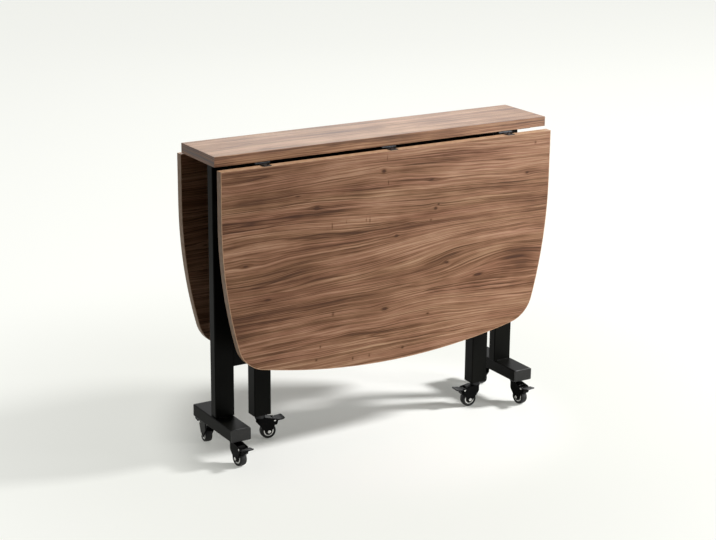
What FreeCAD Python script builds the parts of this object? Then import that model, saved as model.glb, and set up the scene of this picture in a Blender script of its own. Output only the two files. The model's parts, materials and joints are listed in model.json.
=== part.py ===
import FreeCAD, Part
import math
import os
import Sketcher

# Folding room service table: a narrow fixed board on a steel frame, two hanging
# leaves with rounded ends, two swinging gates that carry the raised leaves, and
# six small braked swivel casters.
# X runs along the table, -Y is the front, Z is up. The origin is on the floor
# below the middle of the board. Millimetres throughout.

doc = FreeCAD.newDocument("FoldingTable")
sheet = doc.addObject("Spreadsheet::Sheet", "Sizes")

sizes = {
    # the top
    "table_height": 745,
    "board_length": 910,
    "board_depth": 167,
    "board_thickness": 24,
    "board_edge_round": 1,
    "leaf_end_inset": 2,
    "leaf_drop": 518,
    "leaf_thickness": 19,
    "leaf_below_board": 5.3,
    "leaf_straight_side": 120,
    "leaf_side_radius": 1150,
    "leaf_corner_radius": 80,
    "leaf_end_radius": 1630,
    "edge_band": 1.5,
    # the leaf hinges
    "hinge_below_board": 2.6,
    "hinge_outside_board": 0.8,
    "hinge_end_inset": 120,
    "hinge_width": 38,
    "hinge_tab_width": 20,
    "hinge_tab_length": 18,
    "hinge_plate_depth": 30,
    "hinge_plate_thickness": 1.6,
    "hinge_barrel_radius": 2.2,
    "hinge_pin_radius": 1.2,
    # the frame
    "board_overhang": 29,
    "tube_wall": 2,
    "tube_corner": 2.5,
    "caster_height": 66,
    "foot_length": 200,
    "foot_width": 51,
    "foot_outside_post": 4,
    "foot_height": 30,
    "foot_cap_thickness": 2.5,
    "foot_cap_skirt": 12,
    "post_width": 50,
    "post_depth": 25,
    "rail_depth": 25,
    "lower_rail_height": 50,
    "lower_rail_bottom": 218,
    "upper_rail_height": 40,
    "plate_thickness": 4,
    "plate_length": 140,
    "plate_corner": 8,
    "plate_hole_radius": 2.6,
    "plate_hole_inset": 12,
    # the gates
    "gate_leg_width": 45,
    "gate_leg_depth": 35,
    "gate_leg_to_middle": 293,
    "gate_shift": 9,
    "gate_plane": 35,
    "gate_reach": 344,
    "gate_top_gap": 6,
    "gate_lid": 3,
    "gate_arm_height": 30,
    "gate_arm_depth": 25,
    "gate_arm_inset": 18,
    "pivot_radius": 15,
    "pivot_wall": 2.5,
    "pivot_plug": 14,
    "pivot_end_gap": 0.5,
    "stud_radius": 5,
    "stud_length": 12,
    "lug_thickness": 5,
    "leaf_stop_width": 50,
    "leaf_stop_depth": 60,
    "leaf_stop_clearance": 0.4,
    # the casters
    "caster_inset": 33,
    "front_caster_turn": -84,
    "back_caster_turn": 84,
    "left_gate_caster_turn": -8,
    "right_gate_caster_turn": 174,
    "wheel_radius": 19.5,
    "wheel_width": 17.5,
    "wheel_trail": 20,
    "tyre_shoulder_radius": 16.4,
    "tread_width": 9,
    "core_radius": 13.8,
    "core_inset": 1,
    "web_radius": 9.4,
    "web_depth": 1.5,
    "hub_radius": 5,
    "axle_radius": 2.5,
    "axle_head_radius": 4,
    "axle_head_height": 1.6,
    "running_clearance": 0.05,
    "fork_side_gap": 0.8,
    "fork_wall": 2.2,
    "fork_top": 56,
    "fork_top_thickness": 3,
    "fork_boss_radius": 7,
    "fork_ear_radius": 5,
    "crown_radius": 13,
    "crown_gap": 0.3,
    "kingpin_radius": 4,
    "kingpin_head_radius": 6,
    "kingpin_head_height": 2,
    "stem_radius": 5,
    "stem_length": 16,
    "gate_plug_depth": 22,
    "pedal_pivot_behind_axle": 15,
    "pedal_pivot_above_axle": 27,
    "pedal_hub_radius": 4,
    "pedal_reach": 61,
    "pedal_tip_height": 52,
    "pedal_thickness": 2.6,
    "pedal_width": 30,
    "pedal_corner": 4,
    "pedal_side_gap": 0.4,
    "pedal_pin_radius": 1.75,
    "brake_shoe_length": 12,
}

for row, (alias, value) in enumerate(sizes.items(), start=1):
    sheet.set("A%d" % row, alias)
    sheet.set("B%d" % row, str(value))
    sheet.setAlias("B%d" % row, alias)
doc.recompute()


class Size:
    """A length with its number now and the expression that gives it from the sheet."""

    def __init__(self, number, text):
        self.number = float(number)
        self.text = text

    def join(self, other, sign, number):
        return Size(number, "(%s %s %s)" % (self.text, sign, sized(other).text))

    def __add__(self, other):
        return self.join(other, "+", self.number + sized(other).number)

    def __sub__(self, other):
        return self.join(other, "-", self.number - sized(other).number)

    def __mul__(self, other):
        return self.join(other, "*", self.number * sized(other).number)

    def __truediv__(self, other):
        return self.join(other, "/", self.number / sized(other).number)

    def __rsub__(self, other):
        return sized(other) - self

    def __radd__(self, other):
        return sized(other) + self

    def __rmul__(self, other):
        return sized(other) * self

    def __neg__(self):
        return Size(-self.number, "(-1 * %s)" % self.text)


def sized(value):
    return value if isinstance(value, Size) else Size(value, "(%r)" % float(value))


def named(alias):
    return Size(sizes[alias], "Sizes.%s" % alias)


# ---------------------------------------------------------------- sketch helpers

def bind(thing, path, value):
    """Drive one property from the sheet."""
    if isinstance(value, Size):
        thing.setExpression(path, value.text)


def place(thing, x=0, y=0, z=0, turn=None):
    """Put a sub-part at a point given by named sizes, turned about the vertical."""
    spin = FreeCAD.Rotation(FreeCAD.Vector(0, 0, 1), sized(turn or 0).number)
    spot = FreeCAD.Vector(sized(x).number, sized(y).number, sized(z).number)
    thing.Placement = FreeCAD.Placement(spot, spin)
    for axis, value in zip("xyz", (x, y, z)):
        bind(thing, "Placement.Base.%s" % axis, value)
    bind(thing, "Placement.Rotation.Angle", turn)


def newBody(name):
    return doc.addObject("PartDesign::Body", name)


def originPlane(body, role):
    return next(f for f in body.Origin.OriginFeatures if f.Role == role)


def newSketch(body, name, role, offset=None, slide=(0, 0)):
    """A sketch on one of the body's own planes, lifted off it by a named size."""
    sketch = body.newObject("Sketcher::SketchObject", name)
    sketch.AttachmentSupport = [(originPlane(body, role), "")]
    sketch.MapMode = "FlatFace"
    lifted = sized(offset or 0)
    across, along = sized(slide[0]), sized(slide[1])
    spot = FreeCAD.Vector(across.number, along.number, lifted.number)
    sketch.AttachmentOffset = FreeCAD.Placement(spot, FreeCAD.Rotation())
    bind(sketch, "AttachmentOffset.Base.x", slide[0])
    bind(sketch, "AttachmentOffset.Base.y", slide[1])
    bind(sketch, "AttachmentOffset.Base.z", offset)
    return sketch


def constrain(sketch, kind, *args):
    """Add a constraint; a Size as the last argument drives its datum."""
    value = args[-1]
    if not isinstance(value, Size):
        sketch.addConstraint(Sketcher.Constraint(kind, *args))
        return
    index = sketch.addConstraint(Sketcher.Constraint(kind, *args[:-1], value.number))
    sketch.setExpression("Constraints[%d]" % index, value.text)


def pin(sketch, geo, point, x, y):
    """Fix a point of a sketch at coordinates given by named sizes."""
    constrain(sketch, "DistanceX", -1, 1, geo, point, sized(x))
    constrain(sketch, "DistanceY", -1, 1, geo, point, sized(y))


def vector(x, y):
    return FreeCAD.Vector(sized(x).number, sized(y).number, 0)


def polygon(sketch, corners):
    """A closed outline of straight lines through corners given by named sizes."""
    first = None
    count = len(corners)
    for i in range(count):
        start, end = corners[i], corners[(i + 1) % count]
        geo = sketch.addGeometry(Part.LineSegment(vector(*start), vector(*end)), False)
        first = geo if first is None else first
        pin(sketch, geo, 1, *start)
    for i in range(count):
        constrain(sketch, "Coincident", first + i, 2, first + (i + 1) % count, 1)


def rectangle(sketch, x0, y0, x1, y1):
    polygon(sketch, [(x0, y0), (x1, y0), (x1, y1), (x0, y1)])


def centredRectangle(sketch, width, height):
    x, y = sized(width) / 2, sized(height) / 2
    rectangle(sketch, -x, -y, x, y)


def circle(sketch, x, y, radius):
    shape = Part.Circle(vector(x, y), FreeCAD.Vector(0, 0, 1), sized(radius).number)
    geo = sketch.addGeometry(shape, False)
    constrain(sketch, "Radius", geo, sized(radius))
    pin(sketch, geo, 3, x, y)


def roundedRectangle(sketch, width, height, radius):
    """A rectangle about the sketch's origin with equal round corners."""
    w, h, r = sized(width) / 2, sized(height) / 2, sized(radius)
    arcs = []
    for sx, sy, start in ((1, 1, 0), (-1, 1, 90), (-1, -1, 180), (1, -1, 270)):
        cx, cy = (w - r) * sx, (h - r) * sy
        ring = Part.Circle(vector(cx, cy), FreeCAD.Vector(0, 0, 1), r.number)
        arc = Part.ArcOfCircle(ring, math.radians(start), math.radians(start + 90))
        geo = sketch.addGeometry(arc, False)
        constrain(sketch, "Radius", geo, r)
        pin(sketch, geo, 3, cx, cy)
        arcs.append(geo)
    for i in range(4):
        a, b = arcs[i], arcs[(i + 1) % 4]
        start = sketch.getPoint(a, 2)
        end = sketch.getPoint(b, 1)
        line = sketch.addGeometry(Part.LineSegment(start, end), False)
        constrain(sketch, "Tangent", a, 2, line, 1)
        constrain(sketch, "Tangent", line, 2, b, 1)


def pad(body, sketch, length, midplane=False, reverse=False, name="Pad"):
    feature = body.newObject("PartDesign::Pad", name)
    feature.Profile = sketch
    feature.Length = sized(length).number
    bind(feature, "Length", length)
    feature.Midplane = midplane
    feature.Reversed = reverse
    sketch.Visibility = False
    return feature


def pocket(body, sketch, length=None, midplane=False, reverse=False, name="Pocket"):
    """Cut a sketch out of a body, right through where no length is given."""
    feature = body.newObject("PartDesign::Pocket", name)
    feature.Profile = sketch
    if length is None:
        feature.Type = "ThroughAll"
    else:
        feature.Length = sized(length).number
        bind(feature, "Length", length)
    feature.Midplane = midplane
    feature.Reversed = reverse
    return feature


def revolve(body, sketch, axis="V_Axis"):
    """Turn a profile drawn on one side of a sketch axis into a solid."""
    feature = body.newObject("PartDesign::Revolution", "Revolution")
    feature.Profile = sketch
    feature.ReferenceAxis = (sketch, [axis])
    feature.Angle = 360
    return feature


def tube(name, role, width, height, length, wall, corner):
    """A rectangular steel tube, its section on one plane and its length up from it."""
    body = newBody(name)
    outside = newSketch(body, name + "Section", role)
    roundedRectangle(outside, width, height, corner)
    pad(body, outside, length)
    inside = newSketch(body, name + "Inside", role)
    centredRectangle(inside, width - 2 * wall, height - 2 * wall)
    pocket(body, inside, midplane=True)
    return body


def group(label, members):
    """Identical pieces kept together as one sub-part of separate solids."""
    compound = doc.addObject("Part::Compound", label)
    compound.Links = members
    return compound


subparts = []


def keep(thing, label):
    thing.Label = label
    subparts.append(thing)
    return thing


# ---------------------------------------------------------------- shared places

boardTop = named("table_height")
boardUnder = boardTop - named("board_thickness")
boardEdge = named("board_depth") / 2
hingeHeight = boardUnder - named("hinge_below_board")
hingePlace = boardEdge + named("hinge_outside_board")
leafTop = boardUnder - named("leaf_below_board")
# A raised leaf lies flush with the board, so its face hangs as far outside the
# hinge as the hinge lies below the table top.
leafFace = hingePlace + (boardTop - hingeHeight)
leafBack = leafFace - named("leaf_thickness")

footUnder = named("caster_height")
footTop = footUnder + named("foot_height")
plateUnder = boardUnder - named("plate_thickness")
postOutside = named("board_length") / 2 - named("board_overhang")
postPlace = postOutside - named("post_width") / 2
footPlace = postOutside + named("foot_outside_post") - named("foot_width") / 2
railLength = 2 * (postOutside - named("post_width"))
lowerRailTop = named("lower_rail_bottom") + named("lower_rail_height")
upperRailUnder = plateUnder - named("upper_rail_height")
casterFromMiddle = named("foot_length") / 2 - named("caster_inset")
wall = named("tube_wall")
corner = named("tube_corner")


# ---------------------------------------------------------------- the top

def centreBoard():
    body = newBody("CentreBoard")
    outline = newSketch(body, "BoardOutline", "XY_Plane")
    half = named("board_length") / 2
    rectangle(outline, -half, -boardEdge, half, boardEdge)
    block = pad(body, outline, named("board_thickness"))
    doc.recompute()
    rounding = body.newObject("PartDesign::Fillet", "BoardEdges")
    rounding.Base = (block, ["Face5", "Face6"])
    rounding.Radius = sizes["board_edge_round"]
    bind(rounding, "Radius", named("board_edge_round"))
    place(body, z=boardUnder)
    return body


def leafOutline(sketch, inset):
    """The leaf seen from its face, pulled in all round by inset.

    A straight hinge edge at the top, straight sides that run into long side arcs,
    a bowed bottom edge, and a corner arc that touches both.
    """
    half = named("board_length") / 2 - named("leaf_end_inset") - inset
    top = -sized(inset)
    straight = -named("leaf_straight_side")
    side = named("leaf_side_radius") - inset
    corner = named("leaf_corner_radius") - inset
    end = named("leaf_end_radius") - inset
    bottom = inset - named("leaf_drop")
    sideX, sideY = half.number - side.number, straight.number
    endY = bottom.number + end.number
    # the corner arc's centre, inside both big circles by their radii less its own
    near, far = side.number - corner.number, end.number - corner.number
    gap = math.hypot(sideX, sideY - endY)
    along = (near ** 2 - far ** 2 + gap ** 2) / (2 * gap)
    across = math.sqrt(near ** 2 - along ** 2)
    ux, uy = -sideX / gap, (endY - sideY) / gap
    cornerX = sideX + ux * along + abs(uy) * across
    cornerY = sideY + uy * along - abs(ux) * across
    sideTurn = math.atan2(cornerY - sideY, cornerX - sideX)
    endTurn = math.atan2(cornerY - endY, cornerX)

    def arc(x, y, radius, start, stop):
        ring = Part.Circle(FreeCAD.Vector(x, y, 0), FreeCAD.Vector(0, 0, 1), radius.number)
        geo = sketch.addGeometry(Part.ArcOfCircle(ring, start, stop), False)
        constrain(sketch, "Radius", geo, radius)
        return geo

    def line(x0, y0, x1, y1):
        start, stop = FreeCAD.Vector(x0, y0, 0), FreeCAD.Vector(x1, y1, 0)
        return sketch.addGeometry(Part.LineSegment(start, stop), False)

    turned = math.pi
    edge = line(half.number, top.number, -half.number, top.number)
    left = line(-half.number, top.number, -half.number, sideY)
    leftArc = arc(-sideX, sideY, side, turned, turned - sideTurn)
    leftCorner = arc(-cornerX, cornerY, corner, turned - sideTurn, turned - endTurn)
    bow = arc(0, endY, end, -turned - endTurn, endTurn)
    rightCorner = arc(cornerX, cornerY, corner, endTurn, sideTurn)
    rightArc = arc(sideX, sideY, side, sideTurn, 0)
    right = line(half.number, sideY, half.number, top.number)
    pin(sketch, edge, 1, half, top)
    pin(sketch, edge, 2, -half, top)
    pin(sketch, left, 2, -half, straight)
    pin(sketch, right, 1, half, straight)
    constrain(sketch, "Coincident", edge, 2, left, 1)
    constrain(sketch, "Coincident", right, 2, edge, 1)
    constrain(sketch, "Tangent", left, 2, leftArc, 1)
    constrain(sketch, "Tangent", leftArc, 2, leftCorner, 1)
    constrain(sketch, "Tangent", leftCorner, 2, bow, 1)
    constrain(sketch, "Tangent", bow, 2, rightCorner, 1)
    constrain(sketch, "Tangent", rightCorner, 2, rightArc, 1)
    constrain(sketch, "Tangent", rightArc, 2, right, 1)
    pin(sketch, bow, 3, 0, bottom + end)


def leafPanel(side):
    """The wood-faced panel of a leaf, inside its edge band."""
    name = "Leaf" + side
    body = newBody(name)
    outline = newSketch(body, name + "Outline", "XZ_Plane")
    leafOutline(outline, named("edge_band"))
    pad(body, outline, named("leaf_thickness"))
    place(body, y=leafY(side), z=leafTop)
    return body


def leafBand(side):
    """The band glued round the whole edge of a leaf."""
    name = "Band" + side
    body = newBody(name)
    outline = newSketch(body, name + "Outline", "XZ_Plane")
    leafOutline(outline, 0)
    pad(body, outline, named("leaf_thickness"))
    inside = newSketch(body, name + "Inside", "XZ_Plane")
    leafOutline(inside, named("edge_band"))
    pocket(body, inside, midplane=True)
    place(body, y=leafY(side), z=leafTop)
    return body


def leafY(side):
    """A pad on the XZ plane grows towards -Y, so both leaves start at their +Y face."""
    return -leafBack if side == "Front" else leafFace


# ---------------------------------------------------------------- leaf hinges

def hingeX(i):
    """A hinge in the middle and one near each end, which keeps its distance from the end."""
    return (named("board_length") / 2 - named("hinge_end_inset")) * (i - 1)


def outward(side):
    return -1 if side == "Front" else 1


def hingePlate(side, i):
    """A hinge's fixed half: a plate under the board with a knuckle at each end."""
    name = "HingePlate%s%d" % (side, i)
    out = outward(side)
    body = newBody(name)
    barrel = named("hinge_barrel_radius")
    top = named("hinge_below_board")
    under = top - named("hinge_plate_thickness")
    free = barrel + 0.5
    section = newSketch(body, name + "Section", "YZ_Plane")
    depth = named("hinge_plate_depth")
    rectangle(section, free * -out, under, depth * -out, top)
    pad(body, section, named("hinge_width"), midplane=True)
    arm = newSketch(body, name + "Arm", "YZ_Plane")
    rectangle(arm, 0, barrel / 3, (free + 1) * -out, barrel)
    pad(body, arm, named("hinge_width"), midplane=True, name="Arm")
    knuckle = newSketch(body, name + "Knuckle", "YZ_Plane")
    circle(knuckle, 0, 0, barrel)
    pad(body, knuckle, named("hinge_width"), midplane=True, name="Knuckle")
    gap = newSketch(body, name + "Gap", "XY_Plane")
    half = named("hinge_tab_width") / 2 + 0.3
    rectangle(gap, -half, free * -out, half, (barrel + 1) * out)
    pocket(body, gap, midplane=True, name="Gap")
    bore = newSketch(body, name + "Bore", "YZ_Plane")
    circle(bore, 0, 0, named("hinge_pin_radius"))
    pocket(body, bore, midplane=True, name="Bore")
    place(body, hingeX(i), hingePlace * out, hingeHeight)
    return body


def hingeTab(side, i):
    """A hinge's moving half: a knuckle and a tab that lies on the leaf's top edge."""
    name = "HingeTab%s%d" % (side, i)
    out = outward(side)
    body = newBody(name)
    width = named("hinge_tab_width")
    knuckle = newSketch(body, name + "Knuckle", "YZ_Plane")
    circle(knuckle, 0, 0, named("hinge_barrel_radius"))
    pad(body, knuckle, width, midplane=True, name="Knuckle")
    seat = hingeHeight - leafTop
    tab = newSketch(body, name + "Tab", "YZ_Plane")
    start = hingeTabStart()
    lift = named("hinge_plate_thickness") - seat
    rectangle(tab, 0, -seat, (start + named("hinge_tab_length")) * out, lift)
    pad(body, tab, width, midplane=True, name="Tab")
    bore = newSketch(body, name + "Bore", "YZ_Plane")
    circle(bore, 0, 0, named("hinge_pin_radius") + named("running_clearance"))
    pocket(body, bore, midplane=True, name="Bore")
    place(body, hingeX(i), hingePlace * out, hingeHeight)
    return body


def hingeTabStart():
    """How far outside the hinge line the leaf's inner face hangs."""
    return leafBack - hingePlace


def hingePin(side, i):
    name = "HingePin%s%d" % (side, i)
    body = newBody(name)
    section = newSketch(body, name + "Section", "YZ_Plane")
    circle(section, 0, 0, named("hinge_pin_radius"))
    pad(body, section, named("hinge_width"), midplane=True)
    place(body, hingeX(i), hingePlace * outward(side), hingeHeight)
    return body


# ---------------------------------------------------------------- the frame

def foot(name, side):
    """A tube across the table at one end; its ends are closed by plastic caps."""
    length = named("foot_length") - 2 * named("foot_cap_thickness")
    body = tube(name, "XZ_Plane", named("foot_width"), named("foot_height"), length, wall, corner)
    place(body, footPlace * side, length / 2, footUnder + named("foot_height") / 2)
    middle = length / 2
    holes = newSketch(body, name + "StemHoles", "XY_Plane")
    for sign in (-1, 1):
        circle(holes, 0, casterFromMiddle * sign - middle,
               named("stem_radius") + named("running_clearance"))
    pocket(body, holes, named("foot_height"), name="StemHoles")
    return body


def footCap(side, end):
    """A plug with a flange that closes one end of a foot."""
    name = "FootCap%d%d" % (side + 1, end + 1)
    body = newBody(name)
    flange = newSketch(body, name + "Flange", "XZ_Plane")
    roundedRectangle(flange, named("foot_width"), named("foot_height"), corner)
    pad(body, flange, named("foot_cap_thickness"), reverse=end > 0, name="Flange")
    skirt = newSketch(body, name + "Skirt", "XZ_Plane")
    thin = 2 * wall
    width, height = named("foot_width") - thin, named("foot_height") - thin
    centredRectangle(skirt, width, height)
    centredRectangle(skirt, width - thin, height - thin)
    pad(body, skirt, named("foot_cap_skirt"), reverse=end < 0, name="Skirt")
    tubeEnd = named("foot_length") / 2 - named("foot_cap_thickness")
    place(body, footPlace * side, tubeEnd * end, footUnder + named("foot_height") / 2)
    return body


def post(name, side):
    length = plateUnder - footTop
    body = tube(name, "XY_Plane", named("post_width"), named("post_depth"), length, wall, corner)
    place(body, postPlace * side, 0, footTop)
    return body


def rail(name, height, bottom):
    """A tube along the table between the two posts."""
    body = tube(name, "YZ_Plane", named("rail_depth"), height, railLength, wall, corner)
    place(body, -railLength / 2, 0, bottom + height / 2)
    return body


def boardPlate(side):
    """A flat plate on top of a post, screwed up into the board."""
    name = "BoardPlate%d" % (side + 1)
    body = newBody(name)
    outline = newSketch(body, name + "Outline", "XY_Plane")
    roundedRectangle(outline, named("post_width"), named("plate_length"), named("plate_corner"))
    pad(body, outline, named("plate_thickness"))
    holes = newSketch(body, name + "Holes", "XY_Plane")
    holeX = named("post_width") / 2 - named("plate_hole_inset")
    holeY = named("plate_length") / 2 - named("plate_hole_inset")
    for sx, sy in ((-1, -1), (-1, 1), (1, -1), (1, 1)):
        circle(holes, holeX * sx, holeY * sy, named("plate_hole_radius"))
    pocket(body, holes, midplane=True, name="Holes")
    place(body, postPlace * side, 0, plateUnder)
    return body


# ---------------------------------------------------------------- the gates
# Gate side -1 is the left one: its leg stands near the left end behind the rails.
# Gate side 1 is the same gate turned half round, near the right end in front.

def legX(side):
    return named("gate_leg_to_middle") * side + named("gate_shift")


def pivotX(side):
    return legX(side) - named("gate_reach") * side


def gateY(side):
    return named("gate_plane") * -side


gateTop = boardUnder - named("gate_top_gap")
gateLegUnder = footUnder
pivotUnder = lowerRailTop + named("pivot_end_gap")
pivotTop = upperRailUnder - named("pivot_end_gap")


def gateLeg(name, side):
    """An upright tube with a closed top; a plug for the caster stem closes its foot."""
    body = newBody(name)
    width, depth = named("gate_leg_width"), named("gate_leg_depth")
    outside = newSketch(body, name + "Section", "XY_Plane")
    roundedRectangle(outside, width, depth, corner)
    length = gateTop - gateLegUnder
    pad(body, outside, length)
    inside = newSketch(body, name + "Inside", "XY_Plane")
    centredRectangle(inside, width - 2 * wall, depth - 2 * wall)
    pocket(body, inside, length - named("gate_lid"), reverse=True)
    place(body, legX(side), gateY(side), gateLegUnder)
    return body


def gateArm(side, bottom, name):
    """A tube from the pivot tube to the leg, its end cut to fit round the pivot tube."""
    length = named("gate_reach") - named("gate_leg_width") / 2
    height, depth = named("gate_arm_height"), named("gate_arm_depth")
    body = tube(name + "Tube", "YZ_Plane", depth, height, length, wall, corner)
    start = pivotX(side) if side > 0 else pivotX(side) - length
    place(body, start, gateY(side), bottom + height / 2)
    cope = doc.addObject("Part::Cylinder", name + "Cope")
    cope.Radius = sizes["pivot_radius"]
    bind(cope, "Radius", named("pivot_radius"))
    cope.Height = sizes["gate_arm_height"] + 2
    bind(cope, "Height", height + 2)
    place(cope, pivotX(side), gateY(side), bottom - 1)
    cut = doc.addObject("Part::Cut", name)
    cut.Base = body
    cut.Tool = cope
    return cut


def pivotTube(name, side):
    """The gate's turning tube, with a bored plug at each end for the lug studs."""
    body = newBody(name)
    length = pivotTop - pivotUnder
    outer = named("pivot_radius")
    inner = outer - named("pivot_wall")
    bore = named("stud_radius") + named("running_clearance")
    plug = named("pivot_plug")
    section = newSketch(body, name + "Section", "XZ_Plane")
    polygon(section, [(bore, 0), (outer, 0), (outer, length), (bore, length),
                      (bore, length - plug), (inner, length - plug),
                      (inner, plug), (bore, plug)])
    revolve(body, section)
    place(body, pivotX(side), gateY(side), pivotUnder)
    return body


def pivotLug(side, upper):
    """A round-ended lug welded to a rail, with the stud that the gate turns on."""
    name = "PivotLug%d%d" % (side + 1, upper)
    body = newBody(name)
    back = side > 0
    reach = named("gate_plane") - named("rail_depth") / 2
    half = named("pivot_radius")
    sign = 1 if back else -1
    outline = newSketch(body, name + "Outline", "XY_Plane")
    railSide = reach * sign
    ring = Part.Circle(FreeCAD.Vector(0, 0, 0), FreeCAD.Vector(0, 0, 1), half.number)
    start = math.pi if back else 0
    arc = outline.addGeometry(Part.ArcOfCircle(ring, start, start + math.pi), False)
    constrain(outline, "Radius", arc, half)
    pin(outline, arc, 3, 0, 0)
    ends = [(-half * sign, 0), (half * sign, 0), (half * sign, railSide), (-half * sign, railSide)]
    sides = []
    for a, b in ((1, 2), (2, 3), (3, 0)):
        segment = Part.LineSegment(vector(*ends[a]), vector(*ends[b]))
        sides.append(outline.addGeometry(segment, False))
    constrain(outline, "Coincident", arc, 2, sides[0], 1)
    constrain(outline, "Coincident", sides[0], 2, sides[1], 1)
    constrain(outline, "Coincident", sides[1], 2, sides[2], 1)
    constrain(outline, "Coincident", sides[2], 2, arc, 1)
    pin(outline, sides[1], 1, *ends[2])
    pin(outline, sides[2], 1, *ends[3])
    for point in (1, 2):
        constrain(outline, "DistanceY", -1, 1, arc, point, sized(0))
    thick = named("lug_thickness")
    pad(body, outline, thick, reverse=not upper)
    stud = newSketch(body, name + "Stud", "XY_Plane")
    circle(stud, 0, 0, named("stud_radius"))
    pad(body, stud, named("stud_length"), reverse=bool(upper), name="Stud")
    place(body, pivotX(side), gateY(side), upperRailUnder if upper else lowerRailTop)
    return body


def leafStop(name, side):
    """A block under a leaf that rests on the opened gate and keeps the leaf level."""
    body = newBody(name)
    out = 1 if side < 0 else -1
    thick = leafBack - hingePlace + hingeHeight - gateTop - named("leaf_stop_clearance")
    landing = named("gate_plane") + named("gate_reach") - hingePlace
    outline = newSketch(body, name + "Outline", "XZ_Plane")
    roundedRectangle(outline, named("leaf_stop_width"), named("leaf_stop_depth"),
                     named("plate_corner"))
    pad(body, outline, thick, reverse=out < 0)
    place(body, pivotX(side), leafBack * out, hingeHeight - landing)
    return body


# ---------------------------------------------------------------- the casters
# Each caster is drawn with its swivel axis on Z at the origin, the floor at
# Z = 0 and its wheel trailing towards +X, then turned and moved to its place.

def casterStem(name, x, y, plugged):
    """The fixed part of a caster: king pin, crown and threaded stem, seen in section."""
    body = newBody(name)
    head = named("fork_top") - named("fork_top_thickness") - named("crown_gap")
    headBottom = head - named("kingpin_head_height")
    crownBottom = named("fork_top") + named("crown_gap")
    crownTop = named("caster_height")
    stemTop = crownTop + named("stem_length")
    king, stem = named("kingpin_radius"), named("stem_radius")
    crown = named("crown_radius")
    section = newSketch(body, name + "Section", "XZ_Plane")
    polygon(section, [(0, headBottom), (named("kingpin_head_radius"), headBottom),
                      (named("kingpin_head_radius"), head), (king, head),
                      (king, crownBottom), (crown, crownBottom),
                      (crown, crownTop - 2), (crown - 2, crownTop),
                      (stem, crownTop), (stem, stemTop), (0, stemTop)])
    revolve(body, section)
    if plugged:
        # the moulded plug that holds the stem inside the open foot of a gate leg
        plug = newSketch(body, name + "Plug", "XY_Plane", offset=crownTop)
        slim = 2 * wall
        width, depth = named("gate_leg_width") - slim, named("gate_leg_depth") - slim
        centredRectangle(plug, width, depth)
        pad(body, plug, named("gate_plug_depth"), name="Plug")
    place(body, x, y)
    return body


axleX = named("wheel_trail")
axleZ = named("wheel_radius")
forkInside = named("wheel_width") / 2 + named("fork_side_gap")
forkOutside = forkInside + named("fork_wall")
pedalX = axleX + named("pedal_pivot_behind_axle")
pedalZ = axleZ + named("pedal_pivot_above_axle")


def outerTangent(c0, r0, c1, r1):
    """Where a line with both circles on its left, going from c0 to c1, touches them."""
    heading = math.atan2(c1[1] - c0[1], c1[0] - c0[0])
    turn = heading - math.acos((r0 - r1) / math.dist(c0, c1))
    spot = (math.cos(turn), math.sin(turn))
    ends = [(c[0] + r * spot[0], c[1] + r * spot[1]) for c, r in ((c0, r0), (c1, r1))]
    return ends, turn


def cheekOutline(sketch):
    """A fork cheek from the side: a flat top, a tapered leg round the axle, a pedal ear."""
    top, nose = named("fork_top"), forkOutside
    lip = top - 3 * named("fork_top_thickness")
    boss, ear = named("fork_boss_radius"), named("fork_ear_radius")
    bossAt, earAt = (axleX.number, axleZ.number), (pedalX.number, pedalZ.number)
    back = (named("crown_radius") + 2, top)
    (_, t1), n1 = outerTangent((-nose.number, lip.number), 0, bossAt, boss.number)
    (t2, t3), n2 = outerTangent(bossAt, boss.number, earAt, ear.number)
    (t4, _), n3 = outerTangent(earAt, ear.number, (back[0].number, top.number), 0)

    def line(a, b):
        return sketch.addGeometry(Part.LineSegment(vector(*a), vector(*b)), False)

    def arc(centre, radius, start, stop, x, z):
        ring = Part.Circle(vector(*centre), FreeCAD.Vector(0, 0, 1), radius.number)
        geo = sketch.addGeometry(Part.ArcOfCircle(ring, start, stop), False)
        constrain(sketch, "Radius", geo, radius)
        pin(sketch, geo, 3, x, z)
        return geo

    front = line((-nose, top), (-nose, lip))
    leg = line((-nose, lip), t1)
    bossArc = arc(bossAt, boss, n1, n2, axleX, axleZ)
    rise = line(t2, t3)
    earArc = arc(earAt, ear, n2, n3 + 2 * math.pi if n3 < n2 else n3, pedalX, pedalZ)
    slope = line(t4, back)
    flat = line(back, (-nose, top))
    pin(sketch, front, 1, -nose, top)
    pin(sketch, leg, 1, -nose, lip)
    pin(sketch, flat, 1, *back)
    constrain(sketch, "Coincident", front, 2, leg, 1)
    constrain(sketch, "Tangent", leg, 2, bossArc, 1)
    constrain(sketch, "Tangent", bossArc, 2, rise, 1)
    constrain(sketch, "Tangent", rise, 2, earArc, 1)
    constrain(sketch, "Tangent", earArc, 2, slope, 1)
    constrain(sketch, "Coincident", slope, 2, flat, 1)
    constrain(sketch, "Coincident", flat, 2, front, 1)


def noseCut(body, name):
    """Round the fork's front end about the swivel axis."""
    radius = forkOutside
    sketch = newSketch(body, name + "Nose", "XY_Plane")
    far = radius + 2
    ring = Part.Circle(FreeCAD.Vector(0, 0, 0), FreeCAD.Vector(0, 0, 1), radius.number)
    arc = sketch.addGeometry(Part.ArcOfCircle(ring, math.pi / 2, 3 * math.pi / 2), False)
    constrain(sketch, "Radius", arc, radius)
    pin(sketch, arc, 3, 0, 0)
    for point in (1, 2):
        constrain(sketch, "DistanceX", -1, 1, arc, point, sized(0))
    closeOutside(sketch, arc, [(0, -radius), (0, -far), (-far, -far), (-far, far), (0, far),
                               (0, radius)])
    pocket(body, sketch, named("fork_top") + 1, reverse=True, name="Nose")


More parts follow.
